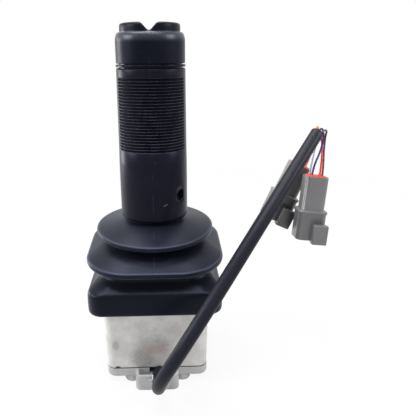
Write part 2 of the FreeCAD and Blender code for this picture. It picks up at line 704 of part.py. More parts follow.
def sensor(face):
    """Round sensor on the outer side of a bearing block, with its lead socket below."""
    start = face + BLOCK_THICK
    end = start + SENSOR_THICK
    body = rod((start, 0, PIVOT_Z), (end, 0, PIVOT_Z), SENSOR_R)
    socket_z = (PIVOT_Z - SENSOR_R - SENSOR_PLUG / 2, PIVOT_Z - SENSOR_R + 1.0)
    body = body.fuse(block((start, end), (-SENSOR_PLUG, SENSOR_PLUG), socket_z))
    body = body.cut(rod((start, 0, PIVOT_Z), (end - SENSOR_BACK, 0, PIVOT_Z), SENSOR_BORE_R))
    return body.removeSplitter()


def magnet(face):
    """Magnet cup pushed on the end of a pin, inside the sensor."""
    start = face + BLOCK_THICK + MAGNET_START
    cup = rod((start, 0, PIVOT_Z), (start + MAGNET_THICK, 0, PIVOT_Z), MAGNET_R)
    return cup.cut(rod((start, 0, PIVOT_Z), (start + MAGNET_SEAT, 0, PIVOT_Z), PIN_R))


def sensor_pin_end(face):
    return face + BLOCK_THICK + MAGNET_START + MAGNET_SEAT


def centring_spring(face):
    """Torsion spring round the pin, with two legs that straddle the fixed and the moving tab."""
    helix = Part.makeHelix(SPRING_PITCH, SPRING_TURNS * SPRING_PITCH, SPRING_R)
    circle = Part.makeCircle(SPRING_WIRE_R, V(SPRING_R, 0, 0), V(0, 1, 0))
    coil = Part.Wire(helix).makePipeShell([Part.Wire(circle)], True, True)
    high = SPRING_TURNS * SPRING_PITCH
    first = rod((SPRING_R, 0, 0), (SPRING_R, -SPRING_LEG, 0), SPRING_WIRE_R)
    last = rod((-SPRING_R, 0, high), (-SPRING_R, -SPRING_LEG, high), SPRING_WIRE_R)
    wound = coil.fuse([first, last]).removeSplitter()
    wound.rotate(V(0, 0, 0), V(0, 0, 1), 90)
    wound.rotate(V(0, 0, 0), V(0, 1, 0), 90)
    wound.translate(V(face + BLOCK_THICK + SPRING_START + SPRING_WIRE_R, 0, PIVOT_Z))
    return wound


def spring_arm(face):
    """Arm on the end of a pin, with the tab that opens the spring."""
    end = face + ARM_REACH
    start = end - ARM_THICK
    arm = rod((start, 0, PIVOT_Z), (end, 0, PIVOT_Z), ARM_EYE_R)
    low = PIVOT_Z - MOVING_TAB - TAB_THICK
    arm = arm.fuse(block((start, end), (-TAB_HALF, TAB_HALF), (low, PIVOT_Z)))
    tab = block((face + BLOCK_THICK + 0.5, end), (-TAB_HALF, TAB_HALF), (low, PIVOT_Z - MOVING_TAB))
    arm = arm.fuse(tab).cut(rod((start, 0, PIVOT_Z), (end, 0, PIVOT_Z), PIN_R))
    return arm.removeSplitter()


# Gimbal frame, yoke and their pins

def make_gimbal_frame():
    heights = (PIVOT_Z - FRAME_HALF_Z, PIVOT_Z + FRAME_HALF_Z)
    frame = slab(FRAME_HALF_X, FRAME_HALF_Y, FRAME_CORNER, heights)
    frame = frame.cut(slab(WINDOW_HALF_X, WINDOW_HALF_Y, FRAME_CORNER / 2, heights))
    frame = frame.cut(rod((-FRAME_HALF_X, 0, PIVOT_Z), (FRAME_HALF_X, 0, PIVOT_Z), PIN_R))
    return frame.cut(rod((0, -FRAME_HALF_Y, PIVOT_Z), (0, FRAME_HALF_Y, PIVOT_Z), LEVER_PIN_R)).removeSplitter()


def make_gimbal_pins():
    start = WINDOW_HALF_X + 0.5
    return [
        rod((start, 0, PIVOT_Z), (sensor_pin_end(BLOCK_X), 0, PIVOT_Z), PIN_R),
        rod((-start, 0, PIVOT_Z), (-BLOCK_X - ARM_REACH, 0, PIVOT_Z), PIN_R),
    ]


def make_lever_pin():
    return rod((0, -FRAME_HALF_Y, PIVOT_Z), (0, FRAME_HALF_Y, PIVOT_Z), LEVER_PIN_R)


def make_yoke():
    """Slotted bar under the pivot, carried by two arms, that turns about the Y axis."""
    bar_z = (DRIVE_Z - YOKE_BAR_THICK / 2, DRIVE_Z + YOKE_BAR_THICK / 2)
    reach = YOKE_ARM_Y + YOKE_ARM_THICK
    yoke = slab(YOKE_BAR_HALF, reach, FRAME_CORNER, bar_z)
    for side in (-1, 1):
        y = sorted((side * YOKE_ARM_Y, side * reach))
        arm = block((-YOKE_ARM_HALF, YOKE_ARM_HALF), y, (bar_z[0], PIVOT_Z))
        eye = rod((0, y[0], PIVOT_Z), (0, y[1], PIVOT_Z), YOKE_EYE_R)
        yoke = yoke.fuse([arm, eye])
    yoke = yoke.cut(rod((0, -reach, PIVOT_Z), (0, reach, PIVOT_Z), PIN_R))
    slot_half = DRIVE_BALL_R + SLOT_CLEARANCE
    return yoke.cut(slab(slot_half, SLOT_HALF_LENGTH, slot_half - 0.05, bar_z)).removeSplitter()


def make_yoke_pins():
    return [
        rod((0, YOKE_ARM_Y, PIVOT_Z), (0, sensor_pin_end(BLOCK_Y), PIVOT_Z), PIN_R),
        rod((0, -YOKE_ARM_Y, PIVOT_Z), (0, -BLOCK_Y - ARM_REACH, PIVOT_Z), PIN_R),
    ]


# Lever: hub, drive rod, shaft and stop sleeve

def make_lever_hub():
    hub = rod((0, 0, PIVOT_Z - HUB_BELOW), (0, 0, HUB_TOP_Z), HUB_R)
    nose_z = PIVOT_Z - HUB_BELOW - NOSE_LENGTH
    hub = hub.fuse(rod((0, 0, nose_z), (0, 0, PIVOT_Z), NOSE_R))
    return hub.cut([
        rod((0, -HUB_R, PIVOT_Z), (0, HUB_R, PIVOT_Z), LEVER_PIN_R + RUNNING_FIT + BUSH_WALL),
        rod((0, 0, SHAFT_Z), (0, 0, HUB_TOP_Z), SHAFT_R),
        rod((0, 0, nose_z), (0, 0, nose_z + DRIVE_SEAT), DRIVE_ROD_R),
        rod((-HUB_R, 0, HUB_PIN_Z), (HUB_R, 0, HUB_PIN_Z), HUB_PIN_R),
    ]).removeSplitter()


def make_hub_bushes():
    bushes = []
    for side in (-1, 1):
        outer_y = side * (WINDOW_HALF_Y - SIDE_GAP)
        inner_y = outer_y - side * HUB_BUSH_LENGTH
        ends = ((0, inner_y, PIVOT_Z), (0, outer_y, PIVOT_Z))
        bushes.append(ring_about(*ends, LEVER_PIN_R + RUNNING_FIT + BUSH_WALL, LEVER_PIN_R + RUNNING_FIT))
    return bushes


def make_hub_pin():
    return rod((-HUB_R + 0.3, 0, HUB_PIN_Z), (HUB_R - 0.3, 0, HUB_PIN_Z), HUB_PIN_R)


def make_drive_rod():
    top = PIVOT_Z - HUB_BELOW - NOSE_LENGTH + DRIVE_SEAT
    ball = Part.makeSphere(DRIVE_BALL_R, V(0, 0, DRIVE_Z))
    return rod((0, 0, DRIVE_Z), (0, 0, top), DRIVE_ROD_R).fuse(ball).removeSplitter()


def make_shaft():
    return rod((0, 0, SHAFT_Z), (0, 0, SHAFT_TOP_Z), SHAFT_R).cut([
        rod((0, 0, SHAFT_Z), (0, 0, SHAFT_TOP_Z), SHAFT_BORE_R),
        rod((-SHAFT_R, 0, HUB_PIN_Z), (SHAFT_R, 0, HUB_PIN_Z), HUB_PIN_R),
        rod((-SHAFT_R - 1, 0, LEAD_Z), (0, 0, LEAD_Z), LEAD_HOLE_R),
    ])


def make_stop_sleeve():
    ends = ((0, 0, HUB_TOP_Z), (0, 0, HUB_TOP_Z + STOP_SLEEVE_LENGTH))
    return ring_about(*ends, SHAFT_R + STOP_SLEEVE_WALL, SHAFT_R)


def make_rocker_wires():
    """Lead from the rocker's board down the bore of the shaft and out through its side."""
    top = CAP_CEILING_Z - POST_LENGTH - BOARD_THICK
    lead = rod((0, 0, LEAD_Z), (0, 0, top), LEAD_R)
    return lead.fuse(rod((0, 0, LEAD_Z), (-LEAD_STUB, 0, LEAD_Z), LEAD_R)).removeSplitter()


# Travel gate, boot ring and boot

def make_travel_gate():
    heights = (FLANGE_TOP_Z, GATE_TOP_Z)
    gate = slab(GATE_HALF, GATE_HALF, GATE_CORNER, heights)
    gate = gate.cut(slab(GATE_OPENING, GATE_OPENING, GATE_OPENING_CORNER, heights))
    for x, y in four_corners(GATE_SCREW, GATE_SCREW):
        gate = gate.cut(rod((x, y, heights[0]), (x, y, heights[1]), M3_R + SCREW_CLEARANCE))
    return gate


def make_boot_ring():
    heights = (BOOT_LIP_Z, BOOT_LIP_Z + RING_THICK)
    ring = slab(RING_HALF, RING_HALF, RING_CORNER, heights)
    ring = ring.cut(slab(RING_INNER_HALF, RING_INNER_HALF, RING_CORNER, heights))
    for x, y in ring_screw_places():
        ring = ring.cut(rod((x, y, heights[0]), (x, y, heights[1]), M3_R + SCREW_CLEARANCE))
    return ring


def make_top_screws():
    screws = []
    for x, y in four_corners(GATE_SCREW, GATE_SCREW):
        screws.append(screw((x, y, GATE_TOP_Z), (0, 0, -1), M3, TOP_SCREW_LENGTH))
    for x, y in ring_screw_places():
        screws.append(screw((x, y, BOOT_LIP_Z + RING_THICK), (0, 0, -1), M3, TOP_SCREW_LENGTH))
    return screws


def boot_loft(skin):
    """Square lower half of the boot; skin is how far inside the outer surface it lies."""
    rise = skin * 0.75
    lip_z = RIM_Z + RIM_LIP

    def square(half, corner, z):
        return outline(half - skin, half - skin, corner - skin, z)

    low = [square(SKIRT_HALF - SKIRT_EDGE, SKIRT_CORNER - SKIRT_EDGE, FLANGE_Z)]
    low.append(square(SKIRT_HALF, SKIRT_CORNER, FLANGE_Z + SKIRT_EDGE))
    if skin > 0:
        low = [square(SKIRT_HALF, SKIRT_CORNER, BOOT_LIP_Z)]
    shoulder_corner = SKIRT_CORNER + SHOULDER_INSET
    return Part.makeLoft(low + [
        square(SKIRT_HALF, SKIRT_CORNER, SKIRT_Z - rise),
        square(SKIRT_HALF - SHOULDER_INSET, shoulder_corner, SKIRT_Z + SHOULDER_INSET - rise),
        square(WAIST_HALF, WAIST_CORNER, WAIST_Z),
        square(WAIST_HALF, WAIST_CORNER, WAIST_Z + WAIST_HEIGHT),
        square(RIM_HALF - LIP_EDGE, RIM_CORNER - LIP_EDGE, RIM_Z - LIP_EDGE + rise),
        square(RIM_HALF, RIM_CORNER, RIM_Z + rise),
        square(RIM_HALF, RIM_CORNER, lip_z - rise),
        square(RIM_HALF - LIP_EDGE, RIM_CORNER - LIP_EDGE, lip_z + LIP_EDGE - rise),
        round_outline(BOOT_THROAT_R - skin, THROAT_Z),
    ], True, True)


def boot_turned():
    """Round upper half of the boot: collar, cone and neck."""
    skin = BOOT_SKIN
    rise = skin * 0.75
    return turned_profile([
        (BOOT_THROAT_R, THROAT_Z),
        (BOOT_THROAT_R, THROAT_Z + THROAT_HEIGHT),
        (COLLAR_R - LIP_EDGE, COLLAR_Z - LIP_EDGE),
        (COLLAR_R, COLLAR_Z),
        (COLLAR_R, COLLAR_Z + COLLAR_LIP),
        (COLLAR_R - LIP_EDGE, COLLAR_Z + COLLAR_LIP + LIP_EDGE),
        (CONE_TOP_R, CONE_Z),
        (NECK_R, NECK_Z),
        (NECK_R, NECK_TOP_Z),
        (NECK_R - NECK_WALL, NECK_TOP_Z),
        (NECK_R - NECK_WALL, NECK_Z - rise),
        (CONE_TOP_R - skin, CONE_Z - rise),
        (COLLAR_R - skin - LIP_EDGE, COLLAR_Z + COLLAR_LIP + LIP_EDGE - rise),
        (COLLAR_R - skin - LIP_EDGE, COLLAR_Z - LIP_EDGE + rise),
        (BOOT_THROAT_R - skin, THROAT_Z + THROAT_HEIGHT + rise / 2),
        (BOOT_THROAT_R - skin, THROAT_Z),
    ])


def make_boot():
    """Bellows boot: its skirt wraps the flange and its inner lip is held under the boot ring."""
    lower = boot_loft(0.0).cut(boot_loft(BOOT_SKIN))
    pocket = FLANGE_HALF + 0.2
    lower = lower.cut(slab(pocket, pocket, FLANGE_CORNER + 0.2, (FLANGE_Z, FLANGE_TOP_Z)))
    lower = lower.cut(slab(RING_INNER_HALF, RING_INNER_HALF, RING_CORNER, (FLANGE_TOP_Z, BOOT_LIP_Z)))
    for x, y in ring_screw_places():
        lower = lower.cut(rod((x, y, FLANGE_TOP_Z), (x, y, BOOT_LIP_Z), M3_R + SCREW_CLEARANCE))
    return lower.fuse(boot_turned()).removeSplitter()


# Grip

def grip_screw_line(near, far):
    """Two points on the axis of the set screw, at two distances from the shaft's axis."""
    turn = math.radians(GRIP_SCREW_DEG)
    height = GRIP_Z + GRIP_SCREW_ABOVE
    return [(reach * math.cos(turn), reach * math.sin(turn), height) for reach in (near, far)]


def make_grip_core():
    """Moulded core, solid round the shaft at both ends and hollow between."""
    bore = SHAFT_R + BORE_FIT
    foot = GRIP_Z - SPIGOT_DROP
    core = turned_profile([
        (bore, foot),
        (SPIGOT_R, foot),
        (SPIGOT_R, NECK_TOP_Z + 0.4),
        (CORE_R, NECK_TOP_Z + 0.4),
        (CORE_R, GRIP_TOP_Z),
        (bore, GRIP_TOP_Z),
        (bore, GRIP_TOP_Z - CORE_WEB_TOP),
        (CORE_R - CORE_WALL, GRIP_TOP_Z - CORE_WEB_TOP),
        (CORE_R - CORE_WALL, foot + CORE_WEB_FOOT),
        (bore, foot + CORE_WEB_FOOT),
    ])
    core = core.cut(rod(*grip_screw_line(SHAFT_R - 1, GRIP_FOOT_R), GRIP_SCREW_R))
    for x in (-PILLAR_X, PILLAR_X):
        core = core.cut(rod((x, 0, cap_screw_seat() - CAP_SCREW_LENGTH), (x, 0, GRIP_TOP_Z), M3_R))
    return core


def make_grip_sleeve():
    """Rubber sleeve with ribbed panels front and back and smooth strips at the sides."""
    counterbore = NECK_TOP_Z + 0.6
    sleeve = turned_profile([
        (NECK_R + 0.2, GRIP_Z),
        (GRIP_FOOT_R - GRIP_FOOT_EDGE / 2, GRIP_Z),
        (GRIP_FOOT_R - GRIP_FOOT_EDGE / 6, GRIP_Z + GRIP_FOOT_EDGE / 2),
        (GRIP_FOOT_R, GRIP_Z + GRIP_FOOT_EDGE),
        (GRIP_TOP_R, GRIP_TOP_Z - GRIP_TOP_EDGE),
        (GRIP_TOP_R - GRIP_TOP_EDGE, GRIP_TOP_Z),
        (CORE_R, GRIP_TOP_Z),
        (CORE_R, counterbore),
        (NECK_R + 0.2, counterbore),
    ])
    grooves = []
    top = GRIP_TOP_Z - RIB_TOP_DROP
    spread = 180.0 - 2 * SMOOTH_DEG
    for rib in range(RIB_COUNT):
        z = top - rib * RIB_PITCH - RIB_GROOVE
        for start in (SMOOTH_DEG, 180.0 + SMOOTH_DEG):
            cutter = Part.makeCylinder(GRIP_FOOT_R + 1, RIB_GROOVE, V(0, 0, z), V(0, 0, 1), spread)
            cutter.rotate(V(0, 0, 0), V(0, 0, 1), start)
            grooves.append(cutter.cut(rod((0, 0, z), (0, 0, z + RIB_GROOVE), GRIP_TOP_R - RIB_DEPTH)))
    sleeve = sleeve.cut(grooves)
    return sleeve.cut(rod(*grip_screw_line(CORE_R - 1, GRIP_FOOT_R + 1), GRIP_SCREW_HOLE_R))


def make_grip_screw():
    start, end = grip_screw_line(SHAFT_R, SHAFT_R + GRIP_SCREW_LENGTH)
    socket = grip_screw_line(SHAFT_R + GRIP_SCREW_LENGTH - 3.0, SHAFT_R + GRIP_SCREW_LENGTH)
    return rod(start, end, GRIP_SCREW_R).cut(rod(*socket, M4_KEY_R))


# Cap and rocker

def cap_screw_seat():
    return POCKET_Z - M3_HEAD - 0.2


def make_lip_ring():
    """Spacer ring under the cap, with a thin lip that stands in the groove."""
    lip_z = GRIP_TOP_Z + LIP_LIFT
    ring = turned_profile([
        (LIP_RING_BORE_R, GRIP_TOP_Z),
        (LIP_RING_R, GRIP_TOP_Z),
        (LIP_RING_R, lip_z),
        (LIP_R, lip_z),
        (LIP_R, lip_z + LIP_THICK),
        (LIP_RING_R, lip_z + LIP_THICK),
        (LIP_RING_R, CAP_Z),
        (LIP_RING_BORE_R, CAP_Z),
    ])
    for x in (-PILLAR_X, PILLAR_X):
        ring = ring.cut(rod((x, 0, GRIP_TOP_Z), (x, 0, CAP_Z), M3_R + SCREW_CLEARANCE))
    return ring


def make_cap():
    """Cap with a round pocket for the rocker above its floor and room for a board below."""
    cap = turned_profile([
        (0, CAP_Z),
        (GRIP_TOP_R, CAP_Z),
        (GRIP_TOP_R, CAP_TOP_Z - CAP_EDGE),
        (GRIP_TOP_R - CAP_EDGE * 0.3, CAP_TOP_Z - CAP_EDGE * 0.3),
        (GRIP_TOP_R - CAP_EDGE * 0.7, CAP_TOP_Z),
        (0, CAP_TOP_Z),
    ])
    cap = cap.cut(rod((0, 0, POCKET_Z), (0, 0, CAP_TOP_Z), POCKET_R))
    cap = cap.cut(rod((0, 0, CAP_Z), (0, 0, CAP_CEILING_Z), GRIP_TOP_R - CAP_WALL))
    for x in (-PILLAR_X, PILLAR_X):
        cap = cap.fuse(rod((x, 0, CAP_Z), (x, 0, POCKET_Z), PILLAR_R))
    for y in (-POST_Y, POST_Y):
        cap = cap.fuse(rod((0, y, CAP_CEILING_Z - POST_LENGTH), (0, y, POCKET_Z), POST_R))
    holes = [rod((0, -GRIP_TOP_R + 0.8, ROCKER_PIN_Z), (0, GRIP_TOP_R - 0.8, ROCKER_PIN_Z), ROCKER_PIN_R)]
    for x in (-PILLAR_X, PILLAR_X):
        holes.append(rod((x, 0, cap_screw_seat()), (x, 0, POCKET_Z), M3_HEAD_R + SCREW_CLEARANCE / 2))
        holes.append(rod((x, 0, CAP_Z), (x, 0, POCKET_Z), M3_R + SCREW_CLEARANCE))
    return cap.cut(holes).removeSplitter()


def make_cap_screws():
    seat = cap_screw_seat()
    return [screw((x, 0, seat), (0, 0, -1), M3, CAP_SCREW_LENGTH) for x in (-PILLAR_X, PILLAR_X)]


def make_rocker_board():
    """Small board hung under the cap's floor, with the sensor chip on top."""
    top = CAP_CEILING_Z - POST_LENGTH
    board = slab(SENSE_BOARD_X, SENSE_BOARD_Y, 1.0, (top - BOARD_THICK, top))
    return board.fuse(chip((0.0, 0.0), CHIP_HALF, CHIP_HALF, (top, top + CHIP_THICK))).removeSplitter()


def make_rocker():
    """Crowned round button with a V notch that runs front to back, and a boss for its pin."""
    flat = ROCKER_R - ROCKER_EDGE
    edge_z = ROCKER_TOP_Z - ROCKER_CROWN
    crown = Part.Arc(V(0, 0, ROCKER_TOP_Z), V(flat / 2, 0, ROCKER_TOP_Z - ROCKER_CROWN / 4), V(flat, 0, edge_z))
    shoulder = Part.Arc(
        V(flat, 0, edge_z),
        V(ROCKER_R - ROCKER_EDGE * 0.3, 0, edge_z - ROCKER_EDGE * 0.3),
        V(ROCKER_R, 0, edge_z - ROCKER_EDGE),
    )
    side = Part.makePolygon([
        V(ROCKER_R, 0, edge_z - ROCKER_EDGE),
        V(ROCKER_R, 0, ROCKER_Z),
        V(0, 0, ROCKER_Z),
        V(0, 0, ROCKER_TOP_Z),
    ])
    profile = Part.Wire([crown.toShape(), shoulder.toShape()] + side.Edges)
    button = Part.Face(profile).revolve(V(0, 0, 0), V(0, 0, 1), 360)
    boss_ends = ((0, -ROCKER_BOSS_HALF, ROCKER_PIN_Z), (0, ROCKER_BOSS_HALF, ROCKER_PIN_Z))
    button = button.fuse(rod(*boss_ends, ROCKER_BOSS_R))
    half_top = NOTCH_HALF * (NOTCH_DEPTH + 1.0) / NOTCH_DEPTH
    notch = Part.Face(Part.makePolygon([
        V(-half_top, -ROCKER_R - 1, ROCKER_TOP_Z + 1.0),
        V(half_top, -ROCKER_R - 1, ROCKER_TOP_Z + 1.0),
        V(0, -ROCKER_R - 1, ROCKER_TOP_Z - NOTCH_DEPTH),
        V(-half_top, -ROCKER_R - 1, ROCKER_TOP_Z + 1.0),
    ])).extrude(V(0, 2 * ROCKER_R + 2, 0))
    magnet_z = ROCKER_PIN_Z - ROCKER_BOSS_R
    return button.cut([
        notch,
        rod((0, -ROCKER_R - 1, ROCKER_PIN_Z), (0, ROCKER_R + 1, ROCKER_PIN_Z), ROCKER_PIN_R + RUNNING_FIT),
        rod((0, 0, magnet_z - 1.0), (0, 0, magnet_z + ROCKER_MAGNET_THICK + 0.1), ROCKER_MAGNET_R),
    ]).removeSplitter()


def make_rocker_magnet():
    magnet_z = ROCKER_PIN_Z - ROCKER_BOSS_R + 0.1
    return rod((0, 0, magnet_z), (0, 0, magnet_z + ROCKER_MAGNET_THICK), ROCKER_MAGNET_R)


def make_rocker_pin():
    reach = GRIP_TOP_R - 1.0
    return rod((0, -reach, ROCKER_PIN_Z), (0, reach, ROCKER_PIN_Z), ROCKER_PIN_R)


def make_rocker_spring():
    """Two bowed leaf springs that lie on the pocket's floor and hold the rocker level."""
    sag = ROCKER_Z - POCKET_Z - LEAF_THICK - 0.15
    leaves = []
    for low_y in (LEAF_Y, -LEAF_Y - LEAF_WIDTH):
        def bow(lift):
            return Part.Arc(
                V(-LEAF_HALF, low_y, POCKET_Z + sag + lift),
                V(0, low_y, POCKET_Z + 0.02 + lift),
                V(LEAF_HALF, low_y, POCKET_Z + sag + lift),
            ).toShape()
        lower = bow(0.0)
        upper = bow(LEAF_THICK)
        left = Part.makeLine(upper.Vertexes[0].Point, lower.Vertexes[0].Point)
        right = Part.makeLine(lower.Vertexes[-1].Point, upper.Vertexes[-1].Point)
        leaves.append(Part.Face(Part.Wire([lower, right, upper, left])).extrude(V(0, LEAF_WIDTH, 0)))
    return leaves


# Control board and inner lead

def make_control_board():
    board = slab(BOARD_HALF_X, BOARD_HALF_Y, BOARD_CORNER, (BOARD_Z, BOARD_Z + BOARD_THICK))
    for x, y in four_corners(BOARD_PILLAR_X, BOARD_PILLAR_Y):
        board = board.cut(rod((x, y, BOARD_Z), (x, y, BOARD_Z + BOARD_THICK), M2_R + SCREW_CLEARANCE))
    return board


def chip(centre, half_x, half_y, z):
    x, y = centre
    return block((x - half_x, x + half_x), (y - half_y, y + half_y), z)


def make_board_parts():
    """Header for the inner lead under the board, and the chips and capacitors on top."""
    top = BOARD_Z + BOARD_THICK
    header_y = (HEADER_FRONT, HEADER_FRONT + HEADER_DEPTH)
    header = block((CABLE_X - HEADER_HALF, CABLE_X + HEADER_HALF), header_y, (FLOOR_Z + HEADER_GAP, BOARD_Z))
    driver_place = (DRIVER_CHIP_X, DRIVER_CHIP_Y)
    parts = [
        header,
        chip((0.0, LOGIC_CHIP_Y), LOGIC_CHIP_HALF, LOGIC_CHIP_HALF, (top, top + LOGIC_CHIP_THICK)),
        chip(driver_place, DRIVER_CHIP_HALF_X, DRIVER_CHIP_HALF_Y, (top, top + DRIVER_CHIP_THICK)),
    ]
    for side in (1, -1):
        y = CAPACITOR_Y + side * CAPACITOR_SPACING / 2
        parts.append(rod((CAPACITOR_X, y, top), (CAPACITOR_X, y, top + CAPACITOR_HEIGHT), CAPACITOR_R))
    return parts


def make_small_screws():
    """M2.5 screws of the board and of the strap."""
    screws = []
    for x, y in four_corners(BOARD_PILLAR_X, BOARD_PILLAR_Y):
        screws.append(screw((x, y, BOARD_Z + BOARD_THICK), (0, 0, -1), M2, BOARD_SCREW_LENGTH))
    for x in (CABLE_X - STRAP_SCREW, CABLE_X + STRAP_SCREW):
        seat = (x, STRAP_Y, CABLE_EXIT_Z + STRAP_THICK)
        screws.append(screw(seat, (0, 0, -1), M2, STRAP_SCREW_LENGTH))
    return screws


def make_cable_core():
    start = (CABLE_X, CABLE_START_Y + CORE_GAP, CABLE_EXIT_Z)
    return rod(start, (CABLE_X, HEADER_FRONT, CABLE_EXIT_Z), CORE_LEAD_R)


def make_cable_clamp():
    """Strap over the inner lead, screwed to two bosses in the cover."""
    y = (STRAP_Y - STRAP_WIDTH / 2, STRAP_Y + STRAP_WIDTH / 2)
    x = (CABLE_X - STRAP_HALF, CABLE_X + STRAP_HALF)
    strap = block(x, y, (CABLE_EXIT_Z, CABLE_EXIT_Z + STRAP_THICK))
    ends = ((CABLE_X, y[0], CABLE_EXIT_Z), (CABLE_X, y[1], CABLE_EXIT_Z))
    arch = rod(*ends, CORE_LEAD_R + STRAP_THICK).common(block(x, y, (CABLE_EXIT_Z, BOARD_Z)))
    strap = strap.fuse(arch).cut(rod(*ends, CORE_LEAD_R))
    for screw_x in (CABLE_X - STRAP_SCREW, CABLE_X + STRAP_SCREW):
        hole = rod((screw_x, STRAP_Y, CABLE_EXIT_Z), (screw_x, STRAP_Y, BOARD_Z), M2_R + SCREW_CLEARANCE / 2)
        strap = strap.cut(hole)
    return strap.removeSplitter()


# Cable, wires and plugs

def cord_tube(points, radius, name):
    """Tube along straight runs joined by tangent arcs, each as large as its runs allow."""
    spots = [V(*point) for point in points]
    edges = []
    here = spots[0]
    radii = []
    for before, corner, after in zip(spots, spots[1:], spots[2:]):
        into = corner - before
        out = after - corner
        turn = into.getAngle(out)
        reach = ARC_SHARE * min(into.Length, out.Length)
        arc_r = reach / math.tan(turn / 2)
        radii.append(round(arc_r, 1))
        into.normalize()
        out.normalize()
        start = corner - into * reach
        end = corner + out * reach
        inward = out - into
        inward.normalize()
        middle = corner + inward * (arc_r / math.cos(turn / 2) - arc_r)
        edges.append(Part.LineSegment(here, start).toShape())
        edges.append(Part.Arc(start, middle, end).toShape())
        here = end
    edges.append(Part.LineSegment(here, spots[-1]).toShape())
    path = Part.Wire(edges)
    circle = Part.makeCircle(radius, spots[0], spots[1] - spots[0])
    tube = path.makePipeShell([Part.Wire(circle)], True, False)
    share = tube.Volume / (math.pi * radius ** 2 * path.Length)
    print(name, "radii", radii, "length", round(path.Length, 1), "volume share", round(share, 4))
    return tube


def plug_placement(top, foot):
    """Puts a plug, made hanging down from the origin, between its top and its foot."""
    along = V(*foot) - V(*top)
    return FreeCAD.Placement(V(*top), FreeCAD.Rotation(V(0, 0, -1), along))


def plug_body():
    """Grey plug: narrow wire end above, wider shroud with a rim below, and a keeper block."""
    foot = -PLUG_LENGTH
    step = -PLUG_BODY_LENGTH
    body = slab(PLUG_BODY_X, PLUG_BODY_Y, PLUG_BODY_CORNER, (step, 0))
    shroud = slab(SHROUD_X, SHROUD_Y, SHROUD_CORNER, (foot, step))
    rim = slab(SHROUD_X + SHROUD_LIP, SHROUD_Y + SHROUD_LIP, SHROUD_CORNER, (step - SHROUD_LIP_LENGTH, step))
    keeper_x = (KEEPER_X - KEEPER_HALF, KEEPER_X + KEEPER_HALF)
    keeper_z = (foot - KEEPER_BELOW, foot - KEEPER_BELOW + KEEPER_HEIGHT)
    keeper = block(keeper_x, (-SHROUD_Y - KEEPER_REACH, -SHROUD_Y + 1.0), keeper_z)
    upright = [edge for edge in keeper.Edges if edge.BoundBox.ZLength > KEEPER_HEIGHT - 0.1]
    body = body.fuse([shroud, rim, keeper.makeFillet(0.8, upright)])
    mouth_x = SHROUD_X - SHROUD_WALL
    mouth_y = SHROUD_Y - SHROUD_WALL
    mouth = slab(mouth_x, mouth_y, SHROUD_CORNER - SHROUD_WALL, (foot, foot + LOCK_DEPTH + LOCK_RECESS))
    well_x = PLUG_BODY_X - SEAL_INSET
    well_y = PLUG_BODY_Y - SEAL_INSET
    well = slab(well_x, well_y, PLUG_BODY_CORNER - SEAL_INSET, (-SEAL_DEPTH, 0))
    return body.cut([mouth, well]).removeSplitter()


def plug_seal():
    half_x = PLUG_BODY_X - SEAL_INSET
    half_y = PLUG_BODY_Y - SEAL_INSET
    seal = slab(half_x, half_y, PLUG_BODY_CORNER - SEAL_INSET, (-SEAL_DEPTH, SEAL_PROUD))
    for x, y in four_corners(WIRE_ROW, WIRE_COLUMN):
        seal = seal.cut(rod((x, y, SEAL_PROUD - WIRE_ENTRY), (x, y, SEAL_PROUD), WIRE_R))
    return seal


def plug_lock():
    """Black lock plate in the mouth of the shroud, with four blade slots."""
    foot = -PLUG_LENGTH + LOCK_RECESS
    half_x = SHROUD_X - SHROUD_WALL
    half_y = SHROUD_Y - SHROUD_WALL
    lock = slab(half_x, half_y, SHROUD_CORNER - SHROUD_WALL, (foot, foot + LOCK_DEPTH))
    for x, y in four_corners(WIRE_ROW, WIRE_COLUMN):
        slot_x = (x - 2 * LOCK_SLOT, x + 2 * LOCK_SLOT)
        lock = lock.cut(block(slot_x, (y - LOCK_SLOT, y + LOCK_SLOT), (foot, foot + LOCK_DEPTH / 2)))
    return lock


FRONT_PLUG = plug_placement(FRONT_PLUG_TOP, FRONT_PLUG_FOOT)
REAR_PLUG = plug_placement(REAR_PLUG_TOP, REAR_PLUG_FOOT)
WIRE_ENDS = {
    "wire_navy": (FRONT_PLUG, -WIRE_ROW, -WIRE_COLUMN),
    "wire_brown": (FRONT_PLUG, WIRE_ROW, -WIRE_COLUMN),
    "wire_red": (FRONT_PLUG, WIRE_ROW, WIRE_COLUMN),
    "wire_pale": (FRONT_PLUG, -WIRE_ROW, WIRE_COLUMN),
    "wire_orange": (REAR_PLUG, WIRE_ROW, -WIRE_COLUMN),
    "wire_violet": (REAR_PLUG, WIRE_ROW, WIRE_COLUMN),
}


def make_wire(name):
    """Wire from the open end of the cable down into its hole in the seal."""
    placement, x, y = WIRE_ENDS[name]
    last = placement.multVec(V(x, y, SEAL_PROUD - WIRE_ENTRY))
    before = placement.multVec(V(x, y, SEAL_PROUD + WIRE_LEAD_IN))
    points = WIRE_POINTS[name] + [tuple(before), tuple(last)]
    return cord_tube(points, WIRE_R, name)


def placed(shape, placement):
    copy = shape.copy()
    copy.Placement = placement.multiply(copy.Placement)
    return copy


def mirrored_pair(make, face_x, face_y):
    """The same piece on both sides of the X axis line and both sides of the Y axis line."""
    return [
        turned_about_z(make(face_x), 0),
        turned_about_z(make(face_x), 180),
        turned_about_z(make(face_y), 90),
        turned_about_z(make(face_y), 270),
    ]


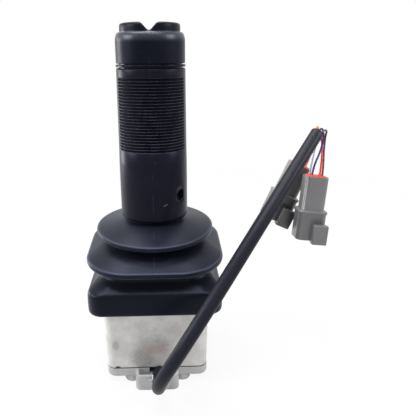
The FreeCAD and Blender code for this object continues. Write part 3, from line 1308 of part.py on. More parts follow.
PIECES = {
    "housing": [make_housing()],
    "mounting_flange": [make_flange()],
    "cover_gasket": [make_gasket()],
    "bottom_cover": [make_cover()],
    "cover_screws": make_cover_screws(),
    "bearing_blocks": [
        bearing_block(BLOCK_X, False),
        turned_about_z(bearing_block(BLOCK_X, True), 180),
        turned_about_z(bearing_block(BLOCK_Y, False), 90),
        turned_about_z(bearing_block(BLOCK_Y, True), 270),
    ],
    "bearing_bushes": mirrored_pair(bush, BLOCK_X, BLOCK_Y),
    "flange_screws": make_top_screws() + [
        turned_about_z(one, degrees)
        for face, degrees in ((BLOCK_X, 0), (BLOCK_X, 180), (BLOCK_Y, 90), (BLOCK_Y, 270))
        for one in block_screws(face)
    ],
    "pitch_sensor": [sensor(BLOCK_X)],
    "roll_sensor": [turned_about_z(sensor(BLOCK_Y), 90)],
    "pitch_spring": [turned_about_z(centring_spring(BLOCK_X), 180)],
    "roll_spring": [turned_about_z(centring_spring(BLOCK_Y), 270)],
    "travel_gate": [make_travel_gate()],
    "boot_ring": [make_boot_ring()],
    "boot": [make_boot()],
    "control_board": [make_control_board()],
    "board_parts": make_board_parts(),
    "small_screws": make_small_screws(),
    "cable_core": [make_cable_core()],
    "cable_clamp": [make_cable_clamp()],
    "gimbal_frame": [make_gimbal_frame()],
    "gimbal_pins": make_gimbal_pins(),
    "lever_pin": [make_lever_pin()],
    "pitch_magnet": [magnet(BLOCK_X)],
    "pitch_arm": [turned_about_z(spring_arm(BLOCK_X), 180)],
    "yoke": [make_yoke()],
    "yoke_pins": make_yoke_pins(),
    "roll_magnet": [turned_about_z(magnet(BLOCK_Y), 90)],
    "roll_arm": [turned_about_z(spring_arm(BLOCK_Y), 270)],
    "lever_hub": [make_lever_hub()],
    "hub_bushes": make_hub_bushes(),
    "hub_pin": [make_hub_pin()],
    "drive_rod": [make_drive_rod()],
    "shaft": [make_shaft()],
    "stop_sleeve": [make_stop_sleeve()],
    "rocker_wires": [make_rocker_wires()],
    "grip_core": [make_grip_core()],
    "grip_sleeve": [make_grip_sleeve()],
    "grip_screw": [make_grip_screw()],
    "lip_ring": [make_lip_ring()],
    "cap": [make_cap()],
    "cap_screws": make_cap_screws(),
    "rocker_board": [make_rocker_board()],
    "rocker_pin": [make_rocker_pin()],
    "rocker_spring": make_rocker_spring(),
    "rocker": [make_rocker()],
    "rocker_magnet": [make_rocker_magnet()],
    "cable": [cord_tube(CABLE_POINTS, CABLE_R, "cable")],
}
for wire_name in WIRE_POINTS:
    PIECES[wire_name] = [make_wire(wire_name)]
for side_name, plug_place in (("front", FRONT_PLUG), ("rear", REAR_PLUG)):
    PIECES[side_name + "_plug"] = [placed(plug_body(), plug_place)]
    PIECES[side_name + "_seal"] = [placed(plug_seal(), plug_place)]
    PIECES[side_name + "_lock"] = [placed(plug_lock(), plug_place)]

for node, solids in PIECES.items():
    shape = solids[0] if len(solids) == 1 else Part.makeCompound(solids)
    if not shape.isValid() or len(shape.Solids) != len(solids):
        print("check", node, "valid", shape.isValid(), "solids", len(shape.Solids), "of", len(solids))
    shape.exportStep("parts/" + node + ".step")
print("nodes", len(PIECES))
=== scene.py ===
import math
import bmesh
import bpy
from mathutils import Matrix, Vector


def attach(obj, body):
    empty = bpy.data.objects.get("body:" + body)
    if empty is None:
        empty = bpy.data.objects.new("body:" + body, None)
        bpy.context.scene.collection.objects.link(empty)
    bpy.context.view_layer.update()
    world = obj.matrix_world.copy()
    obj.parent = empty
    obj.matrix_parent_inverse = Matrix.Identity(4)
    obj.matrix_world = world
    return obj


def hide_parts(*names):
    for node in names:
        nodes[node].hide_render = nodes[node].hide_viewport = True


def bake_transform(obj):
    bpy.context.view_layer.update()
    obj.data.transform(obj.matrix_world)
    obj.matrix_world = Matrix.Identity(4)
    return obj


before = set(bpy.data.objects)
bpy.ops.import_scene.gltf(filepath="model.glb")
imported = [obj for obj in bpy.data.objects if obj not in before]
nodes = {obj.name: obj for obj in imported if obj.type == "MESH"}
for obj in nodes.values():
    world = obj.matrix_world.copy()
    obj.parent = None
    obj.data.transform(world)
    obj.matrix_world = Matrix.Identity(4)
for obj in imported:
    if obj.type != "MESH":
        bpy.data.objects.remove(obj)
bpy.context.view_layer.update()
scene = bpy.context.scene

# The camera stands in front of the lever, about as high as its cap, and looks down at its middle.
# Its place, turn and lens are those that line the flange, cap and plugs up with the photograph,
# whose frame lies off to the right of the lens's middle, hence the small shift.
PICTURE_PX = 416
FOCAL_PX = 481.9
SHIFT_PX = 24.3
SENSOR_MM = 36
CAMERA_PLACE = (0.0107, -0.32061, 0.2212)
YAW = math.radians(1.72)
PITCH = math.radians(18.04)
ROLL = math.radians(-0.44)
ahead = Vector((math.sin(YAW) * math.cos(PITCH), math.cos(YAW) * math.cos(PITCH), -math.sin(PITCH)))
level_right = Vector((math.cos(YAW), -math.sin(YAW), 0))
level_up = level_right.cross(ahead)
right = level_right * math.cos(ROLL) + level_up * math.sin(ROLL)
up = level_up * math.cos(ROLL) - level_right * math.sin(ROLL)
lens = bpy.data.cameras.new("camera")
lens.sensor_width = SENSOR_MM
lens.lens = SENSOR_MM * FOCAL_PX / PICTURE_PX
lens.shift_x = SHIFT_PX / PICTURE_PX
camera = bpy.data.objects.new("camera", lens)
camera_turn = Matrix((right, up, -ahead)).transposed().to_4x4()
camera.matrix_world = Matrix.Translation(CAMERA_PLACE) @ camera_turn
scene.collection.objects.link(camera)
scene.camera = camera


# The cable is a stiff round harness in a smooth black sleeve, 8.7 mm across and 24 cm long.
# It leaves the cover through the guard's notch, folds up to the right and stands up by its own stiffness.
MM = 0.001


class Signal:
    """A shader socket that can be used in sums and products."""

    def __init__(self, finish, socket):
        self.finish = finish
        self.socket = socket

    def sum(self, operation, first, second=0.0):
        return self.finish.node("ShaderNodeMath", {"operation": operation}, {0: first, 1: second})

    def __add__(self, other):
        return self.sum("ADD", self, other)

    def __radd__(self, other):
        return self.sum("ADD", other, self)

    def __sub__(self, other):
        return self.sum("SUBTRACT", self, other)

    def __rsub__(self, other):
        return self.sum("SUBTRACT", other, self)

    def __mul__(self, other):
        return self.sum("MULTIPLY", self, other)

    def __rmul__(self, other):
        return self.sum("MULTIPLY", other, self)

    def __truediv__(self, other):
        return self.sum("DIVIDE", self, other)

    def __pow__(self, other):
        return self.sum("POWER", self, other)

    def __abs__(self):
        return self.sum("ABSOLUTE", self)

    def ramp(self, start, end):
        """0 below start, 1 above end, and smooth between; start may be the larger of the two."""
        settings = {"interpolation_type": "SMOOTHSTEP"}
        if start < end:
            return self.finish.node("ShaderNodeMapRange", settings, {0: self, 1: start, 2: end})
        return 1 - self.ramp(end, start)


class Finish:
    """A material made of one surface shader and the nodes that feed it."""

    def __init__(self, name, roughness, **fixed):
        self.material = bpy.data.materials.new(name)
        self.material.use_nodes = True
        self.tree = self.material.node_tree
        self.surface = self.tree.nodes["Principled BSDF"]
        self.surface.inputs["Roughness"].default_value = roughness
        for socket, value in fixed.items():
            self.surface.inputs[socket.replace("_", " ")].default_value = value
        self.place = self.node("ShaderNodeTexCoord", {}, {}, "Object")

    def node(self, kind, settings, inputs, output=0):
        made = self.tree.nodes.new(kind)
        for key, value in settings.items():
            setattr(made, key, value)
        for key, value in inputs.items():
            self.feed(made.inputs[key], value)
        return Signal(self, made.outputs[output])

    def feed(self, socket, value):
        if isinstance(value, Signal):
            self.tree.links.new(value.socket, socket)
        elif socket.type == "RGBA" and len(value) == 3:
            socket.default_value = (*value, 1)
        else:
            socket.default_value = value

    def noise(self, scale, detail=3.0, roughness=0.55):
        inputs = {"Vector": self.place, "Scale": scale, "Detail": detail, "Roughness": roughness}
        return self.node("ShaderNodeTexNoise", {}, inputs)

    def axis(self, name):
        return self.node("ShaderNodeSeparateXYZ", {}, {0: self.place}, name)

    def mix(self, factor, first, second):
        settings = {"data_type": "RGBA"}
        return self.node("ShaderNodeMix", settings, {0: factor, 6: first, 7: second}, 2)

    def colour(self, value):
        self.feed(self.surface.inputs["Base Color"], value)

    def gloss(self, value):
        self.feed(self.surface.inputs["Roughness"], value)

    def relief(self, height, depth_mm, strength):
        inputs = {"Strength": strength, "Distance": depth_mm * MM, "Height": height}
        bump = self.node("ShaderNodeBump", {}, inputs)
        self.feed(self.surface.inputs["Normal"], bump)


def dress(piece, finish, body="base", *stands_for):
    """Gives a finished piece its material, its body and the nodes that it stands for."""
    piece.data.materials.clear()
    piece.data.materials.append(finish.material)
    if body:
        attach(piece, body)
    if stands_for:
        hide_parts(*stands_for)


def strand(name, route_mm, radius_mm, capped=True):
    """A round cord along one smooth spline through the route's points."""
    curve = bpy.data.curves.new(name, "CURVE")
    curve.dimensions = "3D"
    curve.bevel_depth = radius_mm * MM
    curve.bevel_resolution = 7
    curve.use_fill_caps = capped
    spline = curve.splines.new("NURBS")
    spline.points.add(len(route_mm) - 1)
    for point, spot in zip(spline.points, route_mm):
        point.co = (spot[0] * MM, spot[1] * MM, spot[2] * MM, 1)
    spline.order_u = 3
    spline.use_endpoint_u = True
    spline.resolution_u = 16
    piece = bpy.data.objects.new(name, curve)
    scene.collection.objects.link(piece)
    return piece


sleeve_black = Finish("cable_sleeve", 0.36, Specular_IOR_Level=0.14)
scuff = sleeve_black.noise(900, 4).ramp(0.56, 0.7)
sleeve_black.colour(sleeve_black.mix(scuff, (0.0075, 0.0082, 0.0145), (0.014, 0.015, 0.024)))
sleeve_black.gloss(0.34 + 0.12 * sleeve_black.noise(260, 3))
sleeve_black.relief(sleeve_black.noise(420, 3), 0.05, 0.5)

CABLE_R = 4.35
CABLE_EXIT = (1.5, -35.2, 8.65)
CABLE_END = (108.6, -6.0, 169.1)
cable = strand("cable_sleeve", [
    CABLE_EXIT,
    (1.5, -55.4, 9.4),
    (1.6, -73.5, 26.6),
    (15.1, -79.6, 53.5),
    (41.5, -65.7, 90.3),
    (76.6, -38.8, 134.9),
    CABLE_END,
], CABLE_R, False)
dress(cable, sleeve_black, "base", "cable")


# The sleeve's open end shows its own rounded thickness and the black filler round the wires.
# It is a turned cup, sunk in the end of the sleeve.
def turned(name, profile_mm, steps, rounding=()):
    """A closed or open shell spun round Z from (radius, height) points, with some corners rounded."""
    mesh = bmesh.new()
    spots = [mesh.verts.new((radius * MM, 0, height * MM)) for radius, height in profile_mm]
    for first, second in zip(spots, spots[1:]):
        mesh.edges.new((first, second))
    for corners, radius, segments in rounding:
        chosen = [spots[index] for index in corners]
        bmesh.ops.bevel(
            mesh, geom=chosen, offset=radius * MM, offset_type="OFFSET", affect="VERTICES",
            segments=segments, profile=0.5, material=-1,
        )
    bmesh.ops.spin(
        mesh, geom=mesh.verts[:] + mesh.edges[:], cent=(0, 0, 0), axis=(0, 0, 1),
        angle=math.tau, steps=steps, use_merge=True,
    )
    bmesh.ops.remove_doubles(mesh, verts=mesh.verts, dist=0.00001)
    return finished(name, mesh)


def finished(name, mesh, smooth_deg=35.0):
    """Turns a bmesh into a piece whose flat faces meet in crisp edges."""
    bmesh.ops.recalc_face_normals(mesh, faces=mesh.faces)
    for face in mesh.faces:
        face.smooth = True
    limit = math.radians(smooth_deg)
    for edge in mesh.edges:
        edge.smooth = edge.is_boundary or edge.calc_face_angle(0.0) < limit
    data = bpy.data.meshes.new(name)
    mesh.to_mesh(data)
    mesh.free()
    piece = bpy.data.objects.new(name, data)
    scene.collection.objects.link(piece)
    return piece


def set_at(piece, place, direction):
    """Moves a mesh made about the origin to its place, with its Z axis turned to a direction."""
    turn = Vector((0, 0, 1)).rotation_difference(Vector(direction)).to_matrix().to_4x4()
    piece.data.transform(Matrix.Translation(place) @ turn)


filler_black = Finish("filler_black", 0.7)
filler_tone = filler_black.noise(1500)
filler_black.colour(filler_black.mix(filler_tone, (0.006, 0.006, 0.008), (0.014, 0.014, 0.017)))
sleeve_end = turned("sleeve_end", [
    (0, -1.4), (3.4, -1.4), (3.4, 0.1), (3.65, 0.35), (4.0, 0.35), (4.28, 0.05), (4.3, -3.5), (0, -3.5),
], 48)
CABLE_HEADING = Vector((31.0, 33.0, 34.7)).normalized()
set_at(sleeve_end, Vector(CABLE_END) * MM, CABLE_HEADING)
dress(sleeve_end, filler_black)


# Six thin wires leave the sleeve's end, bend over and go down into the seals of the two plugs.
# Each is a plastic covered copper strand, 1.4 mm across, in its own colour.
WIRE_R = 0.7
WAY_X = 3.5
WAY_Y = 2.6
wire_exits = {}


def wire(name, route_mm, colour):
    """One wire along its route, whose first point lies in the sleeve's end."""
    tint = Finish(name, 0.32)
    shade = tint.noise(700, 2)
    tint.colour(tint.mix(shade, [part * 0.8 for part in colour], colour))
    tint.gloss(0.28 + 0.15 * shade)
    piece = strand(name + "_strand", route_mm, WIRE_R)
    dress(piece, tint, "base", name)
    wire_exits[piece.name] = route_mm[0]
    return piece


def plug_turn(top, foot):
    """Matrix that hangs a plug, made below the origin, from its top towards its foot."""
    along = (Vector(foot) - Vector(top)).normalized()
    turn = Vector((0, 0, -1)).rotation_difference(along).to_matrix().to_4x4()
    return Matrix.Translation(Vector(top) * MM) @ turn


REAR_TOP = (104.1, 14.0, 143.4)
REAR_FOOT = (84.9, 12.0, 101.6)
FRONT_PLUG = plug_turn((109.3, -8.0, 140.5), (105.0, -12.0, 97.0))
REAR_PLUG = plug_turn(REAR_TOP, REAR_FOOT)


def wire_tail(turn, x, y):
    """The last two points of a wire: above its hole in the seal, and inside it."""
    return [tuple((turn @ Vector((x * MM, y * MM, z * MM))) / MM) for z in (5.5, -2.0)]


wire_navy = wire("wire_navy", [
    (108.8, -7.6, 170.7), (111.5, -4.7, 172.2), (113.8, -1.8, 170.3),
    (115.0, -0.9, 165.3), (112.8, -3.5, 156.7),
] + wire_tail(FRONT_PLUG, -WAY_X, -WAY_Y), (0.012, 0.016, 0.16))
wire_brown = wire("wire_brown", [
    (110.6, -7.5, 169.0), (113.7, -5.2, 171.1), (116.4, -2.0, 169.8),
    (116.4, 0.7, 165.6), (115.3, -2.3, 157.1),
] + wire_tail(FRONT_PLUG, WAY_X, -WAY_Y), (0.085, 0.022, 0.018))
wire_red = wire("wire_red", [
    (110.4, -5.5, 167.6), (111.8, -2.9, 168.6), (112.8, 0.4, 167.6),
    (115.2, 3.5, 162.5), (115.5, 1.4, 154.5),
] + wire_tail(FRONT_PLUG, WAY_X, WAY_Y), (0.75, 0.02, 0.012))
wire_pale = wire("wire_pale", [
    (108.7, -5.9, 169.3), (110.4, -3.3, 170.7), (113.2, 1.9, 169.4),
    (112.2, 4.3, 163.9), (110.0, 1.5, 155.9),
] + wire_tail(FRONT_PLUG, -WAY_X, WAY_Y), (0.42, 0.42, 0.6))
wire_orange = wire("wire_orange", [
    (107.0, -6.1, 171.0), (108.8, -3.9, 172.6), (110.9, 0.1, 172.2),
    (111.9, 4.3, 168.8), (111.7, 8.8, 160.1),
] + wire_tail(REAR_PLUG, WAY_X, -WAY_Y), (0.85, 0.17, 0.02))
wire_violet = wire("wire_violet", [
    (107.4, -4.0, 168.8), (108.8, -1.6, 170.4), (109.5, 3.1, 170.5),
    (110.4, 8.0, 167.2), (111.0, 13.5, 159.4),
] + wire_tail(REAR_PLUG, WAY_X, WAY_Y), (0.075, 0.03, 0.3))


# Each plug is one grey moulding: a narrower wire end above and a wider shroud with a rim below.
# A keeper block stands on its front, and faint flow marks and scuffs show on its satin faces.
# The rear plug is darker all over, as painted shade, but for its left side, which is lighter as painted
# light.
def loop(mesh, half_x, half_y, corner, z, segments):
    """A ring of vertices in the shape of a rounded rectangle, in millimetres."""
    made = bmesh.ops.create_circle(mesh, cap_ends=False, segments=4 * segments + 4, radius=1)["verts"]
    per = segments + 1
    for index, spot in enumerate(made):
        quarter, step = divmod(index, per)
        side_x, side_y = ((1, 1), (-1, 1), (-1, -1), (1, -1))[quarter]
        angle = math.radians(90 * quarter + 90 * step / segments)
        spot.co = (
            (side_x * (half_x - corner) + corner * math.cos(angle)) * MM,
            (side_y * (half_y - corner) + corner * math.sin(angle)) * MM,
            z * MM,
        )
    return made


def lofted(mesh, rings, segments, closed=True):
    """Skins rounded rectangles, each (half_x, half_y, corner, z), one after the other."""
    previous = None
    loops = []
    for ring in rings:
        spots = loop(mesh, *ring, segments)
        edges = list(dict.fromkeys(edge for spot in spots for edge in spot.link_edges))
        loops.append(edges)
        if previous:
            bmesh.ops.bridge_loops(mesh, edges=previous + edges)
        previous = edges
    if closed:
        bmesh.ops.edgeloop_fill(mesh, edges=loops[0])
        bmesh.ops.edgeloop_fill(mesh, edges=loops[-1])
    bmesh.ops.remove_doubles(mesh, verts=mesh.verts, dist=0.000004)


def plug_plastic(name, shade, light):
    """Filled nylon with faint flow marks and scuffs."""
    finish = Finish(name, 0.3, Specular_IOR_Level=0.75)
    flow = finish.noise(130, 4)
    fleck = finish.noise(2400, 2).ramp(0.62, 0.72)
    finish.tone = finish.mix(flow * 0.7 + fleck * 0.3, shade, light)
    finish.colour(finish.tone)
    finish.gloss(0.24 + 0.12 * flow)
    finish.relief(finish.noise(1600, 2) + fleck * 0.4, 0.03, 0.5)
    return finish


plug_grey = plug_plastic("plug_grey", (0.100, 0.096, 0.101), (0.134, 0.129, 0.134))
# A shaded copy of the plug grey for the rear plug: darker all over as painted shade, its left side lighter as
# painted light.
shaded_plug_grey = plug_plastic("shaded_plug_grey", (0.030, 0.030, 0.031), (0.042, 0.042, 0.043))
REAR_LEAN = 0.459
rear_middle = REAR_FOOT[0] * MM + REAR_LEAN * (shaded_plug_grey.axis("Z") - REAR_FOOT[2] * MM)
lit_left_side = (shaded_plug_grey.axis("X") - rear_middle).ramp(-4.5 * MM, -6.2 * MM)
shaded_plug_grey.colour(shaded_plug_grey.mix(lit_left_side, shaded_plug_grey.tone, (0.17, 0.168, 0.155)))


KEEPER_PLACE = (4.9, -10.4, -38.0)
KEEPER_SIZE = (10.0, 5.6, 13.4)
RAIL_PLACE = (0.0, 7.1, -13.5)
RAIL_SIZE = (3.0, 1.2, 20.0)


def moulded_block(mesh, place, size, rounding_mm, segments):
    """Adds a block with rounded edges, in millimetres, to a mesh."""
    spots = bmesh.ops.create_cube(mesh, size=1.0)["verts"]
    for spot in spots:
        spot.co = Vector([(middle + part * width) * MM for middle, part, width in zip(place, spot.co, size)])
    edges = list(dict.fromkeys(edge for spot in spots for edge in spot.link_edges))
    bmesh.ops.bevel(
        mesh, geom=edges, offset=rounding_mm * MM, offset_type="OFFSET", affect="EDGES",
        segments=segments, profile=0.5, material=-1,
    )


def plug(name, turn, plastic):
    """A plug made below the origin, from its wire end down to the mouth of its shroud."""
    mesh = bmesh.new()
    lofted(mesh, [
        (6.7, 5.5, 2.0, -4.6), (6.7, 5.5, 2.0, -0.4), (6.9, 5.75, 2.25, 0.0), (7.4, 6.5, 3.0, 0.0),
        (7.65, 6.8, 3.3, -0.25), (7.75, 6.9, 3.4, -0.6), (7.75, 6.9, 3.4, -22.4), (7.95, 7.1, 3.5, -22.9),
        (9.3, 8.5, 4.2, -22.9), (9.8, 9.0, 4.3, -23.3), (9.95, 9.1, 4.4, -23.7), (9.95, 9.1, 4.4, -24.5),
        (9.7, 8.85, 4.3, -25.0), (9.5, 8.6, 4.2, -25.5), (9.5, 8.6, 4.2, -42.6), (9.2, 8.3, 4.0, -43.2),
        (8.7, 7.7, 3.3, -43.3), (8.35, 7.25, 2.9, -42.9), (8.3, 7.2, 2.8, -37.6),
    ], 8)
    moulded_block(mesh, KEEPER_PLACE, KEEPER_SIZE, 0.75, 3)
    moulded_block(mesh, RAIL_PLACE, RAIL_SIZE, 0.3, 2)
    piece = finished(name + "_body", mesh, 40)
    piece.data.transform(turn)
    dress(piece, plastic, "base", name)
    return piece


front_plug = plug("front_plug", FRONT_PLUG, plug_grey)
rear_plug = plug("rear_plug", REAR_PLUG, shaded_plug_grey)


# A soft red seal fills the wire end of each plug, with a raised collar round each wire.
# It is moulded silicone, pressed in flush with the plug's rim.
seal_red = Finish("seal_red", 0.5, Specular_IOR_Level=0.4)
seal_red.colour(seal_red.mix(seal_red.noise(500, 3), (0.55, 0.035, 0.012), (0.72, 0.06, 0.02)))
seal_red.relief(seal_red.noise(1800, 2), 0.03, 0.5)


def seal(name, turn):
    """A seal with four collars, of which the rear plug leaves two empty."""
    mesh = bmesh.new()
    lofted(mesh, [
        (6.65, 5.45, 1.9, -4.5), (6.65, 5.45, 1.9, 0.0), (6.4, 5.2, 1.7, 0.35), (6.0, 4.8, 1.5, 0.45),
    ], 6)
    for x in (-WAY_X, WAY_X):
        for y in (-WAY_Y, WAY_Y):
            collar = bmesh.ops.create_cone(
                mesh, cap_ends=True, segments=24, radius1=1.55 * MM, radius2=1.0 * MM, depth=0.6 * MM,
            )["verts"]
            bmesh.ops.translate(mesh, verts=collar, vec=Vector((x, y, 0.7)) * MM)
    piece = finished(name + "_rubber", mesh, 40)
    piece.data.transform(turn)
    dress(piece, seal_red, "base", name)
    return piece


front_seal = seal("front_seal", FRONT_PLUG)
rear_seal = seal("rear_seal", REAR_PLUG)


# A black lock plate closes the mouth of each shroud, with a slot for each blade.
# It is a hard glossy moulding that snaps in once the wires are in place.
CREASE = math.radians(38.0)


def bevelled(name, node, width_mm, finish, segments=2):
    """A copy of a CAD node with its sharp edges rounded off, as on the moulded or cast piece."""
    mesh = bmesh.new()
    mesh.from_mesh(nodes[node].data)
    bmesh.ops.remove_doubles(mesh, verts=mesh.verts, dist=0.000002)
    bmesh.ops.dissolve_limit(
        mesh, angle_limit=math.radians(1.0), use_dissolve_boundaries=False,
        verts=mesh.verts, edges=mesh.edges,
    )
    piece = finished(name, mesh, 32)
    rounding = piece.modifiers.new("rounded edges", "BEVEL")
    rounding.width = width_mm * MM
    rounding.segments = segments
    rounding.limit_method = "ANGLE"
    rounding.angle_limit = CREASE
    rounding.use_clamp_overlap = True
    rounding.harden_normals = False
    dress(piece, finish, "base", node)
    return piece


lock_black = Finish("lock_black", 0.35)
lock_black.colour(lock_black.mix(lock_black.noise(600), (0.008, 0.008, 0.01), (0.016, 0.016, 0.018)))
lock_black.relief(lock_black.noise(1500, 2), 0.02, 0.4)
locks = []
for side in ("front", "rear"):
    locks.append(bevelled(side + "_lock_plate", side + "_lock", 0.25, lock_black))

for piece, length, far, carried in (
    (wire_navy, 0.0425, "connector", [front_plug, front_seal, locks[0]]),
    (wire_brown, 0.0425, "object", []),
    (wire_red, 0.039, "object", []),
    (wire_pale, 0.0425, "object", []),
    (wire_orange, 0.043, "connector", [rear_plug, rear_seal, locks[1]]),
    (wire_violet, 0.043, "object", []),
):
    [part * MM for part in wire_exits[piece.name]]


# The bottom cover is a satin die casting with a rounded edge, four screw bosses and the cable guard.
# It closes the housing from below, and the cable's lead lies under a strap inside it.
def cast(name, shade, light, roughness, metallic):
    """Die cast or sand cast alloy: matt, with soft mottling, fine grain and a few pores."""
    finish = Finish(name, roughness, Metallic=metallic, Specular_IOR_Level=0.35)
    mottle = finish.noise(75, 5, 0.6)
    grain = finish.noise(1100, 3, 0.7)
    pores = finish.noise(3200, 2).ramp(0.70, 0.78)
    finish.tone = finish.mix(mottle.ramp(0.32, 0.68) * 0.75 + grain * 0.25, shade, light)
    finish.gloss(roughness - 0.08 + 0.16 * grain)
    finish.relief(grain * 0.5 + mottle * 0.5 - pores * 0.6, 0.11, 0.55)
    return finish


def blob(finish, x, z, half_x, half_z, ragged):
    """A soft mark on the front face, 1 in its middle and 0 outside, with a ragged edge."""
    across = (finish.axis("X") - x * MM) / (half_x * MM)
    along = (finish.axis("Z") - z * MM) / (half_z * MM)
    reach = (across * across + along * along) ** 0.5
    edge = (finish.noise(420, 5, 0.7) - 0.5) * 2 * ragged
    return (reach + edge).ramp(1.0, 0.35) * finish.axis("Y").ramp(-31 * MM, -34 * MM)


cover_alloy = cast("cover_alloy", (0.35, 0.35, 0.355), (0.46, 0.46, 0.465), 0.5, 0.25)
cover_alloy.colour(cover_alloy.tone)
bottom_cover = bevelled("bottom_cover_casting", "bottom_cover", 0.35, cover_alloy, 3)


# Four long socket screws clamp the cover and the housing under the flange, in counterbored bosses.
# They are zinc plated steel, as are the other screws, the strap, the pins, the boot's ring
# and the spring arms.
def coat(finish, *names):
    """Gives CAD nodes whose shape is right their finish."""
    for name in names:
        for holder in nodes[name].material_slots:
            holder.material = finish.material


def metal(name, dark, light, roughness, grain=700, depth_mm=0.01):
    """Bare or plated metal with fine grain."""
    finish = Finish(name, roughness, Metallic=1.0)
    tone = finish.noise(grain, 3, 0.6)
    finish.colour(finish.mix(tone, dark, light))
    finish.gloss(roughness - 0.07 + 0.14 * tone)
    finish.relief(tone, depth_mm, 0.5)
    return finish


plated_steel = metal("plated_steel", (0.48, 0.49, 0.51), (0.64, 0.65, 0.67), 0.32)
coat(
    plated_steel, "cover_screws", "flange_screws", "small_screws", "cap_screws", "grip_screw",
    "cable_clamp", "boot_ring", "gimbal_pins", "lever_pin", "yoke_pins", "hub_pin", "pitch_arm", "roll_arm",
)


# A flat black rubber gasket fills the seam between the cover and the housing, set back a little.
# The same rubber covers the lead inside the cover and the wires down the lever's shaft.
inner_rubber = Finish("inner_rubber", 0.62)
inner_tone = inner_rubber.noise(900, 3)
inner_rubber.colour(inner_rubber.mix(inner_tone, (0.006, 0.006, 0.007), (0.014, 0.014, 0.016)))
inner_rubber.gloss(0.55 + 0.15 * inner_tone)
inner_rubber.relief(inner_tone, 0.02, 0.5)
coat(inner_rubber, "cover_gasket", "cable_core", "rocker_wires")


# The control board stands on four pillars in the cover, and the rocker's board hangs under the cap.
# Both are green solder mask over copper, with black moulded parts soldered on.
# The angle sensors and the grip's core are moulded in the same black.
board_green = Finish("board_green", 0.4)
weave = board_green.noise(1600, 2)
tracks = board_green.noise(240, 0.0).ramp(0.48, 0.52)
board_green.colour(board_green.mix(tracks * 0.6 + weave * 0.4, (0.008, 0.06, 0.022), (0.02, 0.13, 0.05)))
board_green.gloss(0.32 + 0.2 * weave)
board_green.relief(tracks * 0.6 + weave * 0.2, 0.03, 0.5)
coat(board_green, "control_board", "rocker_board")
moulded_black = Finish("moulded_black", 0.45)
moulded_tone = moulded_black.noise(1300, 3)
moulded_black.colour(moulded_black.mix(moulded_tone, (0.009, 0.009, 0.01), (0.02, 0.02, 0.022)))
moulded_black.gloss(0.38 + 0.16 * moulded_tone)
moulded_black.relief(moulded_tone, 0.02, 0.5)
coat(moulded_black, "board_parts", "pitch_sensor", "roll_sensor", "grip_core")


# The housing is a tapered casting under a square flange, left bare and matt.
# Its front is speckled, with a grey smudge up from low left, a brownish touch and a few small marks.
housing_alloy = cast("housing_alloy", (0.50, 0.485, 0.47), (0.69, 0.68, 0.665), 0.62, 0.2)
speckle = 0.55 + 0.9 * (housing_alloy.noise(850, 4, 0.75) - 0.25)
low_smudge = blob(housing_alloy, -3.0, 25.0, 23.0, 17.0, 0.3) * 0.56
high_smudge = blob(housing_alloy, 8.0, 37.0, 14.0, 13.0, 0.3) * 0.3
smudge = low_smudge + high_smudge
dirt = blob(housing_alloy, -10.0, 18.0, 11.0, 11.0, 0.3) * 0.6
rust = blob(housing_alloy, 0.0, 26.0, 12.0, 5.5, 0.5) * 0.55
thumb_mark = blob(housing_alloy, -28.0, 29.8, 3.6, 5.2, 0.35) * 0.55
# The housing's colour is darker towards the bottom.
low_darkening = housing_alloy.axis("Z").ramp(50 * MM, 12 * MM) * 0.12
worn = housing_alloy.mix(low_darkening, housing_alloy.tone, (0.33, 0.31, 0.295))
worn = housing_alloy.mix(smudge * speckle, worn, (0.17, 0.16, 0.155))
worn = housing_alloy.mix((dirt + thumb_mark) * speckle, worn, (0.16, 0.15, 0.15))
worn = housing_alloy.mix(rust * speckle, worn, (0.27, 0.17, 0.15))
chip = blob(housing_alloy, -27.3, 12.4, 2.6, 0.9, 0.25)
housing_alloy.colour(housing_alloy.mix(chip, worn, (0.012, 0.011, 0.010)))
housing = bevelled("housing_casting", "housing", 0.45, housing_alloy, 3)
coat(housing_alloy, "mounting_flange")


# The mechanism hangs under the flange: bearing blocks, a gimbal frame, a slotted yoke and the lever's hub.
# They are milled aluminium, with sintered bronze bushes, steel springs and nickel plated magnets.
# The square gate and the sleeve that meets it are pale acetal.
milled_alloy = metal("milled_alloy", (0.55, 0.56, 0.58), (0.70, 0.71, 0.73), 0.3, 420, 0.02)
coat(milled_alloy, "bearing_blocks", "gimbal_frame", "yoke", "lever_hub")
sintered_bronze = metal("sintered_bronze", (0.36, 0.22, 0.09), (0.55, 0.37, 0.16), 0.42, 1500, 0.02)
coat(sintered_bronze, "bearing_bushes", "hub_bushes")
drawn_steel = metal("drawn_steel", (0.30, 0.31, 0.33), (0.44, 0.45, 0.47), 0.28)
coat(drawn_steel, "pitch_spring", "roll_spring", "rocker_spring", "shaft", "drive_rod")
nickel = metal("nickel", (0.42, 0.41, 0.39), (0.56, 0.55, 0.52), 0.2)
coat(nickel, "pitch_magnet", "roll_magnet", "rocker_magnet")
acetal = Finish("acetal", 0.4, Specular_IOR_Level=0.5)
acetal_tone = acetal.noise(500, 3)
acetal.colour(acetal.mix(acetal_tone, (0.62, 0.60, 0.54), (0.72, 0.70, 0.65)))
acetal.gloss(0.36 + 0.12 * acetal_tone)
acetal.relief(acetal_tone, 0.02, 0.5)
coat(acetal, "travel_gate", "stop_sleeve")


